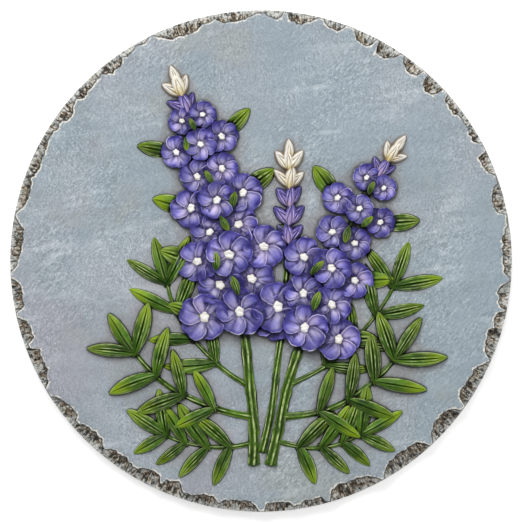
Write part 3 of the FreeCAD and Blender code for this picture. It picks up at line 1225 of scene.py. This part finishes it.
@dataclass(frozen=True)
class StalkForm:
    """Stalk, half sunk in the face: a ribbed circle carried along an arc and drawn in at both ends.

    Its middle wanders off the arc by a sine, the ribs sway, and it swells a little at knots, one to a pitch.
    """

    radius: float
    taper: float = 0.78
    ribs: int = 6
    rib_height: float = 0.10
    wander: float = 0.5
    pitch: float = 23.0
    rows: int = 140
    columns: int = 48

    def grow(self, arc: Arc) -> Shells:
        """Works out one stalk.

        Args:
            arc: its middle line.

        Returns:
            One shell.
        """
        u = np.linspace(0, 1, self.rows)
        middles, headings = arc.at(u)
        ends = np.clip(np.minimum(u, 1 - u) * arc.length() / self.radius, 0, 1)
        thick = self.radius * (1 + (self.taper - 1) * u) * np.sqrt(1 - (1 - ends) ** 6)
        run = u * arc.length()
        flare = 1 + 0.22 * np.exp(-run / 9) + 0.14 * np.cos(np.pi * run / self.pitch) ** 16
        angle = np.linspace(0, 2 * np.pi, self.columns, endpoint=False)
        rib = np.cos(self.ribs * angle[None] + 1.8 * np.sin(run[:, None] / 8.5))
        reach = (thick * flare)[:, None] * (1 + self.rib_height * rib)
        left = leftward(directions(headings))
        middles = middles + (self.wander * np.sin(run / 9.0 + 1.0))[:, None] * left
        flat = middles[:, None] + (reach * np.sin(angle))[..., None] * left[:, None]
        upward = np.cos(angle)[None, None]
        plain = np.ones((1, 1, 1))
        skin = np.stack(np.broadcast_arrays(run[:, None], self.radius * angle, 0.0), axis=-1)
        marks = {
            "along": 0.52 * plain,
            "rim": 0.75 * ease(rib, 0.2, 0.9)[None] * ease(upward, 0.2, 0.8),
            # groove and sunk darken the rib valleys and the lower sides, as painted shade with dark paint
            "groove": 0.9 * ease(-rib, 0.1, 0.9)[None],
            "sunk": ease(-upward, -0.45, 0.1),
            "half": 0.0 * plain,
            "tint": 0.75 * plain,
            "skin": skin[None] * MM,
        }
        return Shells(lifted(flat, FACE + reach * np.cos(angle))[None], marks)


@dataclass(frozen=True)
class Paints:
    """Materials of the stone."""

    slate: bpy.types.Material
    petal: bpy.types.Material
    bud: bpy.types.Material
    cream: bpy.types.Material
    leaf: bpy.types.Material


class ReliefMap:
    """Mean heights of the face and its relief, near each place and further off, which show the recesses."""

    CELL = 0.6
    COUNT = 520
    # contact, recess and shade set the painted shade round and under the raised forms; a negative recess
    # marks raised edges for dry-brushed paint.
    PASSES = {"contact": 4, "recess": 10, "shade": 150}

    def __init__(self, batches: list[Shells]) -> None:
        """Draws the map.

        Args:
            batches: the raised forms.
        """
        heights = np.full((self.COUNT, self.COUNT), FACE)
        for shells in batches:
            points = shells.points.reshape(-1, 3)
            cells = np.rint(self._cells(points)).astype(int)
            np.maximum.at(heights, (cells[:, 0], cells[:, 1]), points[:, 2])
        steps = [(a, b) for a in (-1, 0, 1) for b in (-1, 0, 1)]
        heights = np.max([np.roll(heights, step, axis=(0, 1)) for step in steps], axis=0)
        self.maps = {name: self._blurred(heights, passes) for name, passes in self.PASSES.items()}

    def _cells(self, points: Array) -> Array:
        """Places in the map, as cells along x and y with fractions."""
        return points[..., :2] / self.CELL + self.COUNT / 2

    @staticmethod
    def _blurred(heights: Array, passes: int) -> Array:
        """Heights averaged with their four neighbours, over and over."""
        for _ in range(passes):
            sides = [np.roll(heights, step, axis) for step in (-1, 1) for axis in (0, 1)]
            heights = (heights + sum(sides)) / 5
        return heights

    def _read(self, heights: Array, points: Array) -> Array:
        """Height at each place, weighted from the four cells around it."""
        cells = self._cells(points)
        low = np.floor(cells).astype(int)
        a, b = np.moveaxis(cells - low, -1, 0)
        row, column = np.moveaxis(low, -1, 0)
        first = heights[row, column] * (1 - b) + heights[row, column + 1] * b
        second = heights[row + 1, column] * (1 - b) + heights[row + 1, column + 1] * b
        return first * (1 - a) + second * a

    def mark(self, shells: Shells) -> None:
        """Adds how far each place lies under the mean heights round it, in millimetres."""
        for name, heights in self.maps.items():
            shells.marks[name] = self._read(heights, shells.points) - shells.points[..., 2]


@dataclass
class Piece:
    """A batch of surfaces that becomes one object, with its finish and the record's slot for it."""

    name: str
    shells: Shells
    material: bpy.types.Material
    slot: Slot

    def mount(self) -> None:
        """Makes the object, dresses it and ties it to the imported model."""
        thing = self.shells.piece(self.name)
        thing.data.materials.append(self.material)
        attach(thing, BODY)
        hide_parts(NODE)
        LOG.info("%s: %d faces", thing.name, len(thing.data.polygons))


@dataclass(frozen=True)
class FlowerSpike:
    """Stem with rows of three and two florets by turns, bracts and sepals, and tiers of three buds above.

    Covered florets, counted row after row, lie under another spike: they sit lower and show no eye. Bare
    ones have no bract, because it would cross another stem.
    """

    name: str
    arc: Arc
    stem: StalkForm
    bud_tiers: int
    cream_from: int
    rows: int = 0
    start: float = 0.0
    first: float = 0.0
    last: float = 0.0
    seed: int = 1
    covered: tuple[int, ...] = ()
    bare: tuple[int, ...] = ()
    bud_pitch: float = 11.0
    bud_angle: float = math.radians(40)
    bud_lift: float = 1.3
    spread: float = 0.72
    rise_middle: float = 5.6
    rise_side: float = 3.0
    lean: float = math.radians(7)
    tuck: float = 0.9
    sink: float = 1.8
    odd_size: float = 0.90
    even_size: float = 0.96
    turn: float = math.radians(36)
    stray: float = 1.0
    bract_angle: float = math.radians(66)
    sepal_lift: float = 6.8
    sepal_foot: float = 0.3
    petal_form: PetalForm = PetalForm()
    eye_form: EyeForm = EyeForm()
    bract_form: BladeForm = BladeForm(26.0, 10.0, 4.0, hidden=0.68)
    sepal_form: BladeForm = BladeForm(13.5, 5.6, 3.2, rows=22, across=21)
    bud_form: BudForm = BudForm(15.0, 6.4, 4.4)

    def crown(self) -> float:
        """Share of the stem where the buds begin."""
        return 1 - self.bud_pitch * self.bud_tiers / self.arc.length()

    def _stations(self) -> tuple[Array, Array]:
        """Row number and side of each floret, row after row."""
        stations = [(row, side) for row in range(self.rows)
                    for side in ((-1.0, 0.0, 1.0) if row % 2 == 0 else (-0.5, 0.5))]
        rows, sides = np.array(stations).T
        return rows, sides

    def florets(self) -> Florets:
        """Places of the open florets."""
        rows, sides = self._stations()
        share = rows / (self.rows - 1)
        sizes = self.first + (self.last - self.first) * share
        points, headings = self.arc.at(self.start + (self.crown() - self.start) * share)
        side_headings = headings - math.pi / 2
        centres = points + (sides * self.spread * sizes)[:, None] * directions(side_headings)
        rises = self.rise_middle + (self.rise_side - self.rise_middle) * np.abs(sides)
        odd = np.abs(sides) == 0.5
        rises = rises - self.tuck * odd
        rises[list(self.covered)] -= self.sink
        sizes = sizes * np.where(odd, self.odd_size, self.even_size)
        draw = np.random.default_rng(self.seed + 5)
        centres = centres + draw.uniform(-self.stray, self.stray, centres.shape)
        sizes = sizes * draw.uniform(0.94, 1.07, sizes.shape)
        turns = headings + self.turn * rows + draw.uniform(-0.35, 0.35, sizes.shape)
        leans = self.lean * sides + np.radians(draw.uniform(-5, 5, sizes.shape))
        return Florets(centres, rises, sizes, turns, side_headings, leans)

    def sepals(self) -> Blades:
        """Places of the small green sepals, each in a cleft between florets, some of them upside down."""
        rows = np.arange(1, self.rows)
        sides = np.where(rows % 2 == 1, 0.0, np.where(rows % 4 == 0, 0.5, -0.5))
        upward = np.where(rows % 3 == 0, -1.0, 1.0)
        sizes = self.first + (self.last - self.first) * rows / (self.rows - 1)
        share = (rows - self.sepal_foot * upward) / (self.rows - 1)
        points, headings = self.arc.at(self.start + (self.crown() - self.start) * share)
        feet = points + (sides * self.spread * sizes)[:, None] * directions(headings - math.pi / 2)
        turned = headings + math.pi * (upward < 0) + 0.3 * np.sin(2.7 * rows)
        return Blades(feet, turned, sizes / self.first, np.full(len(feet), self.sepal_lift))

    def bracts(self) -> Blades:
        """Places of the bracts, one behind each outer floret that isn't bare."""
        _, sides = self._stations()
        florets = self.florets()
        outer = np.abs(sides) == 1
        outer[list(self.bare)] = False
        headings = florets.side_headings[outer] + math.pi / 2 - self.bract_angle * sides[outer]
        count = int(outer.sum())
        return Blades(florets.centres[outer], headings, np.ones(count), np.zeros(count))

    def buds(self, cream: bool) -> Blades:
        """Places of the buds.

        Args:
            cream: whether to give the cream buds near the tip or the violet ones below them.

        Returns:
            Their places.
        """
        tiers = np.arange(self.bud_tiers)
        tiers = tiers[tiers >= self.cream_from] if cream else tiers[tiers < self.cream_from]
        crown = self.crown()
        draw = np.random.default_rng(self.seed + 7 + int(cream))
        points, headings = self.arc.at(crown + (1 - crown) * (tiers + 0.5) / self.bud_tiers)
        feet = np.repeat(points, 3, axis=0)
        turned = (headings[:, None] + self.bud_angle * np.array((-1, 1, 0))).ravel()
        lifts = np.tile((0.0, 0.0, self.bud_lift), len(tiers))
        if cream:
            tip, ahead = self.arc.at(np.array([1.0]))
            feet, turned = np.concatenate([feet, tip]), np.concatenate([turned, ahead])
            lifts = np.append(lifts, 0.0)
        turned = turned + draw.uniform(-0.12, 0.12, turned.shape)
        return Blades(feet, turned, draw.uniform(0.88, 1.06, turned.shape), lifts)

    def pieces(self, paints: Paints) -> list[Piece]:
        """Works out the pieces.

        Args:
            paints: the materials.

        Returns:
            Stem, bracts, petals, eyes, sepals and buds.
        """
        grown = [("stem", self.stem.grow(self.arc), paints.leaf, Slot.LEAF)]
        if self.rows:
            florets = self.florets()
            grown += [
                ("bracts", self.bract_form.grow(self.bracts(), self.seed + 1), paints.leaf, Slot.LEAF),
                ("petals", self.petal_form.grow(florets, self.seed), paints.petal, Slot.PETAL),
                ("eyes", self.eye_form.grow(florets.without(self.covered)), paints.cream, Slot.WHITE),
                ("sepals", self.sepal_form.grow(self.sepals(), self.seed + 4), paints.leaf, Slot.LEAF),
            ]
        grown += [
            ("violet_buds", self.bud_form.grow(self.buds(False), self.seed + 2), paints.bud, Slot.PETAL),
            ("cream_buds", self.bud_form.grow(self.buds(True), self.seed + 3), paints.cream, Slot.WHITE),
        ]
        return [Piece(f"{self.name}_{part}", *rest) for part, *rest in grown]


@dataclass(frozen=True)
class LeafSprig:
    """Stalk with pairs of leaflets and one at its end, kept inside the margin, a radius on the face."""

    name: str
    arc: Arc
    lift: float
    seed: int
    radius: float = 1.5
    pairs: tuple[float, ...] = (0.28, 0.52, 0.76, 0.98)
    angle: float = math.radians(50)
    margin: float = 137.0
    leaf_form: BladeForm = BladeForm(34.0, 8.6, 3.5)

    def _stalk(self) -> StalkForm:
        """Stalk of the sprig."""
        return StalkForm(self.radius + max(self.lift, 0) / 3, rows=80, columns=30)

    def leaflets(self) -> Blades:
        """Places of the leaflets."""
        points, headings = self.arc.at(np.array(self.pairs))
        tip, ahead = self.arc.at(np.array([1.0]))
        feet = np.concatenate([np.repeat(points, 2, axis=0), tip])
        turned = np.concatenate([(headings[:, None] + np.array((-self.angle, self.angle))).ravel(), ahead])
        draw = np.random.default_rng(self.seed + 50)
        turned = turned + draw.uniform(-0.13, 0.13, turned.shape)
        form = self.leaf_form
        reach = np.linalg.norm(feet + (form.length - form.lap) * directions(turned), axis=-1)
        scales = np.clip(1 - (reach - self.margin) / form.length, 0.7, 1.0)
        scales = np.minimum(scales, draw.uniform(0.84, 1.06, scales.shape))
        return Blades(feet, turned, scales, np.full(len(feet), self.lift))

    def pieces(self, paints: Paints) -> list[Piece]:
        """Works out the pieces.

        Args:
            paints: the materials.

        Returns:
            Stalk and leaflets.
        """
        leaflets = self.leaf_form.grow(self.leaflets(), self.seed)
        return [
            Piece(self.name + "_stalk", self._stalk().grow(self.arc), paints.leaf, Slot.LEAF),
            Piece(self.name + "_leaflets", leaflets, paints.leaf, Slot.LEAF),
        ]


@dataclass(frozen=True)
class Slab:
    """The stone itself: a disc with a painted face, a rim of chips, a rough side and a flat underside.

    It is made as two closed shells. The face is a plate in the middle, seated in a recess. The rim runs, at
    each angle, from there to the lip of the chips, down the broken stone to the side, down the side to the
    foot and in under the stone. A crisp row, too narrow to see, keeps smooth shading from rounding an edge.
    """

    disc: float = 132.0
    lap: float = 0.05
    crisp: float = 0.03
    seat: float = 3.0
    face_columns: int = 640
    face_rows: int = 148
    rim_columns: int = 2048
    border_rows: int = 9
    chip_rows: int = 26
    side_rows: int = 8
    base_rows: int = 3
    ragged: float = 0.85
    lip_drop: float = 1.3
    drawn: float = 0.40
    seed: int = 5

    @staticmethod
    def _apart(angles: Array, middles: Array) -> Array:
        """Angles from each middle, -pi to pi, with the middles on the last axis."""
        return (angles[..., None] - np.radians(middles) + np.pi) % (2 * np.pi) - np.pi

    @staticmethod
    def _ring(angles: Array, third: Array) -> Array:
        """Places for noise that is drawn out along the radius: the rim's circle, and a third coordinate."""
        return lifted(RIM * directions(np.broadcast_to(angles, third.shape)), third)

    def lip(self, angles: Array, grain: Grain) -> Array:
        """Radius where the face ends.

        A chip of the length l and the bite b takes b (1 - |u|^3.5)^0.75 off the rim, where u runs from -1
        to 1 along it and is pushed a little to one side. Shallow bands join some chips, and nicks and teeth
        break the line.

        Args:
            angles: angles round the slab.
            grain: noise.

        Returns:
            The radii.
        """
        cuts = np.concatenate([RIM_CHIPS, RIM_BANDS])
        middles, lengths, bites = cuts.T
        u = np.clip(self._apart(angles, middles) * 2 * RIM / lengths, -1, 1)
        u = u + 0.3 * np.sin(2.4 * np.arange(len(cuts))) * (1 - u ** 2)
        bite = (bites * (1 - np.abs(u) ** 3.5) ** 0.75).max(axis=-1)
        ring = self._ring(angles, np.zeros(angles.shape))
        nick = 3.0 * np.clip(grain.soft(ring, 8.0) - 0.1, 0, None)
        bite = np.maximum(bite, nick)
        notch = 3.0 * np.clip(grain.soft(ring + 40.0, 4.0) - 0.42, 0, None)
        teeth = 0.75 * grain.soft(ring, 3.4) + 0.75 * grain.soft(ring, 1.7) + notch
        return RIM - 0.45 - bite - self.ragged * teeth * ease(bite, 0.5, 2.5)

    def _drop(self, radii: Array, lip: Array, angles: Array) -> Array:
        """Depth of the broken stone under the face: part of a ball's depth, a slope and a wall at the lip.

        A ball of radius R, its centre h over the face, lies sqrt(R^2 - d^2) - h under it at the distance d.
        """
        middles, length, bite = RIM_CHIPS.T
        scallop = (length ** 2 / 4 + bite ** 2) / (2 * bite)
        deep = np.minimum(CHIP_SLOPE * bite, CHIP_ROUND * length)
        lift = (length ** 2 / 4 - deep ** 2) / (2 * deep)
        centre = RIM - bite + scallop
        apart = self._apart(np.broadcast_to(angles, radii.shape), middles)
        spread = radii[..., None] ** 2 + centre ** 2 - 2 * radii[..., None] * centre * np.cos(apart)
        ball = np.sqrt(np.maximum(scallop ** 2 + lift ** 2 - spread, 0)) - lift
        gone = np.maximum(radii - lip, 0)
        wall = self.lip_drop * (1 - np.exp(-gone / 0.5))
        return 0.5 * np.maximum(ball, 0).max(axis=-1) + 0.42 * gone + wall

    @staticmethod
    def _side(heights: Array) -> Array:
        """Radius of the leaning side at a height."""
        return RIM + SIDE_DRAFT * (1 - (heights - FOOT_CHAMFER) / (FACE - FOOT_CHAMFER))

    @staticmethod
    def _level(radii: Array, angles: Array, lip: Array, grain: Grain) -> Array:
        """Places on the face: a softly uneven trowelled plane, worn down a little at the lip."""
        level = lifted(radii[..., None] * directions(np.broadcast_to(angles, radii.shape)), 0.0)
        uneven = 0.22 * grain.soft(level, 42.0) + 0.10 * grain.soft(level, 13.0)
        level[..., 2] = FACE + uneven - 0.35 * ease(radii - lip, -1.4, 0.0)
        return level

    def _seat(self, angles: Array, reach: float) -> Array:
        """Two rows of the level seat under the face: its edge, as far out as reach, and its middle."""
        flat = np.array((reach, 0.0))[:, None, None] * directions(angles)
        return lifted(flat, FACE - self.seat)

    def _broken(self, lip: Array, angles: Array, grain: Grain) -> tuple[Array, Array, Array, Array]:
        """Rows of the broken stone, roughened by grains that are drawn out along the radius.

        Args:
            lip: radii of the lip.
            angles: angles round the slab.
            grain: noise.

        Returns:
            The rows, the grit from 0 in crevices to 1 on grains, the pebbles' numbers, and how brown the
            stone is, from 0 at the ends and the side of a chip to 1 under the lip of a deep one.
        """
        share = np.linspace(0, 1, self.chip_rows + 1)[1:, None]
        outer = self._side(FACE - self._drop(np.full(angles.shape, RIM), lip, angles))
        radii = lip + share * (outer - lip)
        drop = self._drop(radii, lip, angles)
        drawn = self._ring(angles, self.drawn * radii + 0.35 * drop)
        near, number = grain.pebbles(drawn, 1.7)
        fine, _ = grain.pebbles(drawn + 50.0, 0.95)
        rough = (0.46 - near) * 1.5 + (0.46 - fine) * 0.8 + 0.35 * grain.soft(drawn, 5.0)
        rough = rough * ease(radii - lip, 0.1, 1.2) * ease(outer - lip, 0.8, 3.0)
        rows = lifted(radii[..., None] * directions(angles), FACE - drop + rough)
        brown = ease(RIM - lip, 2.2, 6.0) * (1 - 0.8 * ease(share, 0.2, 1.1))
        return rows, np.clip(0.5 + rough / 1.6, 0, 1), number, brown

    def _wall(self, edge: Array, angles: Array, grain: Grain) -> Array:
        """Rows of the side and the underside, from the broken edge to the middle of the underside."""
        share = np.linspace(0, 1, self.side_rows + 1)[1:, None]
        heights = edge[:, 2] + share * (FOOT_CHAMFER - edge[:, 2])
        radii = self._side(heights)
        ring = lifted(radii[..., None] * directions(angles), heights)
        pitted = 0.35 * np.clip(grain.soft(ring, 3.0), 0, None)
        pitted = pitted + 0.25 * np.clip(grain.soft(ring, 7.0), 0, None)
        pitted = pitted * np.sin(np.pi * share) ** 0.5
        side = lifted((radii - pitted)[..., None] * directions(angles), heights)
        inwards = np.linspace(1, 0, self.base_rows + 1)[:, None] * (DIAMETER / 2 - FOOT_CHAMFER)
        return np.concatenate([side, lifted(inwards[..., None] * directions(angles), 0.0)])

    def _face_surface(self, grain: Grain) -> Shells:
        """Middle of the face, with the seat below it.

        Args:
            grain: noise.

        Returns:
            One shell.
        """
        angles = np.linspace(0, 2 * np.pi, self.face_columns, endpoint=False)
        reach = self.disc + self.lap
        radii = np.append(np.linspace(0, reach - self.crisp, self.face_rows), reach)[:, None] + 0 * angles
        level = self._level(radii, angles, np.full(angles.shape, RIM), grain)
        points = np.concatenate([level, self._seat(angles, reach)])
        rest = np.zeros(points.shape[:2])
        marks = {
            "lip_gap": rest - 12, "grit": rest + 0.5, "pebble": rest + 0.5, "brown": rest, "side": rest,
            "verge": rest, "skin": points * MM,
        }
        return Shells(points[None], {name: values[None] for name, values in marks.items()})

    def _rim_surface(self, grain: Grain) -> Shells:
        """Recess for the face, outer face, chips, side and underside.

        Args:
            grain: noise.

        Returns:
            One shell.
        """
        angles = np.linspace(0, 2 * np.pi, self.rim_columns, endpoint=False)
        lip = self.lip(angles, grain)
        share = 1 - (1 - np.linspace(0, 1, self.border_rows)[:, None]) ** 2
        inner = self.disc + self.crisp
        radii = np.concatenate([np.full((1, self.rim_columns), self.disc), inner + share * (lip - inner)])
        border = self._level(radii, angles, lip, grain)
        broken, grit, number, brown = self._broken(lip, angles, grain)
        wall = self._wall(broken[-1], angles, grain)
        recess = self._seat(angles, self.disc)[::-1]
        points = np.concatenate([recess, border, broken, wall])
        shape = points.shape[:2]
        first = len(recess) + len(border)
        chip = slice(first, first + self.chip_rows)
        radii = np.linalg.norm(points[..., :2], axis=-1)
        slope = (np.roll(lip, -2) - np.roll(lip, 2)) / (4 * RIM * 2 * np.pi / self.rim_columns)
        lip_gap = np.clip((radii - lip) / np.sqrt(1 + slope ** 2), -12, 12)
        lip_gap[chip.stop:] = 12
        marks = {"grit": np.full(shape, 0.5), "pebble": np.full(shape, 0.5), "brown": np.zeros(shape)}
        for name, values in zip(marks, (grit, number, brown)):
            marks[name][chip] = values
            marks[name][chip.stop:chip.stop + self.side_rows] = values[-1]
        side = np.zeros(shape)
        side[chip.stop:] = ease(np.arange(shape[0] - chip.stop), 0.0, 2.0)[:, None]
        verge = ease(radii, RIM - 4.5, RIM) * (lip_gap <= 0)
        marks |= {"lip_gap": lip_gap, "side": side, "verge": verge}
        marks["skin"] = self._ring(angles, self.drawn * radii - 0.35 * points[..., 2]) * MM
        return Shells(points[None], {name: values[None] for name, values in marks.items()})

    def pieces(self, paints: Paints) -> list[Piece]:
        """Works out the pieces.

        Args:
            paints: the materials.

        Returns:
            Face and rim.
        """
        grain = Grain(self.seed)
        return [
            Piece("slab_face", self._face_surface(grain), paints.slate, Slot.SLATE),
            Piece("slab_rim", self._rim_surface(grain), paints.slate, Slot.SLATE),
        ]


@dataclass(frozen=True)
class Lamp:
    """Square soft lamp that faces the stone: its place and side in metres, and its power in watts."""

    name: str
    place: tuple[float, float, float]
    size: float
    power: float

    def hang(self) -> None:
        """Adds the lamp to the scene."""
        light = bpy.data.lights.new(self.name, "AREA")
        light.shape = "SQUARE"
        light.size = self.size
        light.energy = self.power
        lamp = bpy.data.objects.new(self.name, light)
        lamp.location = self.place
        away = lamp.location.normalized()
        lamp.rotation_mode = "QUATERNION"
        lamp.rotation_quaternion = away.to_track_quat("Z", "Y")
        bpy.context.scene.collection.objects.link(lamp)


@dataclass(frozen=True)
class Studio:
    """Pale floor, soft light and the camera straight above the face."""

    lens: float = 200.0
    height: float = 1.764
    floor_size: float = 6.0
    floor_drop: float = 0.0002
    floor_white: float = 0.85
    glow: float = 0.54
    sky: float = 0.32
    key: Lamp = Lamp("key", (-0.26, 0.72, 1.29), 0.90, 15.8)
    fill: Lamp = Lamp("fill", (0.9, 0.2, 1.2), 1.0, 4.0)

    def _floor(self) -> None:
        """Plain floor under the stone, which keeps its shadow."""
        mesh = bpy.data.meshes.new("floor")
        half = self.floor_size / 2
        square = ((-half, -half), (half, -half), (half, half), (-half, half))
        mesh.from_pydata([(x, y, -self.floor_drop) for x, y in square], [], [(0, 1, 2, 3)])
        floor = bpy.data.objects.new("floor", mesh)
        bpy.context.scene.collection.objects.link(floor)
        material = bpy.data.materials.new("floor_white")
        material.use_nodes = True
        board = Board(material.node_tree)
        shader = material.node_tree.nodes["Principled BSDF"]
        shader.inputs["Base Color"].default_value = (self.floor_white,) * 3 + (1.0,)
        shader.inputs["Roughness"].default_value = 0.9
        shader.inputs["Specular IOR Level"].default_value = 0.0
        shader.inputs["Emission Color"].default_value = (1.0, 1.0, 1.0, 1.0)
        board.feed(shader.inputs["Emission Strength"], board.product(board.seen(), self.glow))
        mesh.materials.append(material)

    def _world(self) -> None:
        """Studio round the stone: its walls look white, its ceiling dim, and both give soft light."""
        world = bpy.data.worlds.new("sky")
        world.use_nodes = True
        bpy.context.scene.world = world
        board = Board(world.node_tree)
        split = board.add("ShaderNodeSeparateXYZ")
        board.feed(split.inputs["Vector"], board.add("ShaderNodeTexCoord").outputs["Generated"])
        looks = board.ramp(split.outputs["Z"], 0.2, 0.6, 1.0, self.sky)
        background = world.node_tree.nodes["Background"]
        background.inputs["Color"].default_value = (1.0, 1.0, 1.0, 1.0)
        board.feed(background.inputs["Strength"], board.blend(board.seen(), self.sky, looks))

    def _camera(self) -> None:
        """Camera that looks straight down, with the top of the picture towards +Y."""
        data = bpy.data.cameras.new("camera")
        data.lens = self.lens
        data.clip_start = 0.01
        camera = bpy.data.objects.new("camera", data)
        camera.location = (0.0, 0.0, self.height)
        bpy.context.scene.collection.objects.link(camera)
        bpy.context.scene.camera = camera

    def build(self) -> None:
        """Sets up floor, light and camera."""
        bpy.context.scene.view_settings.view_transform = "Standard"
        self._floor()
        self._world()
        self.key.hang()
        self.fill.hang()
        self._camera()


SPIKES = (
    FlowerSpike("tall_spike", Arc((-4, -124), (-50, 106), -11), StalkForm(3.1), bud_tiers=2, cream_from=1,
                rows=8, start=0.40, first=31, last=18, seed=11, bare=(7,)),
    FlowerSpike("short_spike", Arc((6, -124), (80, 66), 11), StalkForm(3.1), bud_tiers=2, cream_from=1,
                rows=6, start=0.42, first=28, last=17, seed=21, covered=(0,)),
    FlowerSpike("young_spike", Arc((1, -116), (17, 62), -5), StalkForm(2.2), bud_tiers=5, cream_from=3,
                seed=31),
)
SPRIGS = (
    LeafSprig("sprig_1", Arc((-3, -108), (-58, -104), 6), 0.0, 41),
    LeafSprig("sprig_2", Arc((-5, -93), (-77, -54), 9), 1.6, 42),
    LeafSprig("sprig_3", Arc((-8, -74), (-57, -12), 9), -0.8, 43),
    LeafSprig("sprig_4", Arc((8, -108), (61, -104), -6), 0.0, 44),
    LeafSprig("sprig_5", Arc((13, -94), (81, -58), -9), 1.6, 45),
    LeafSprig("sprig_6", Arc((17, -75), (80, -14), -8), -0.8, 46),
)


def main() -> None:
    """Builds the stone and the studio."""
    logging.basicConfig(level=logging.INFO, format="%(name)s: %(message)s")
    effects = Effects()
    # The last colour is the brown of the dark paint and painted shade in the folds, recesses and walls of
    # the cream buds and eyes.
    cream = BudFinish("white_paint", srgb(222, 198, 110), srgb(240, 235, 218), srgb(249, 248, 245),
                      srgb(252, 250, 246), srgb(150, 128, 96))
    paints = Paints(
        slate=SlateFinish().material(effects),
        petal=PetalFinish().material(effects),
        bud=BudFinish().material(effects),
        cream=cream.material(effects),
        leaf=LeafFinish().material(effects),
    )
    growths = [piece for growth in SPIKES + SPRIGS for piece in growth.pieces(paints)]
    relief = ReliefMap([piece.shells for piece in growths])
    for piece in Slab().pieces(paints) + growths:
        relief.mark(piece.shells)
        piece.mount()
    Studio().build()


if __name__ == "__main__":
    main()
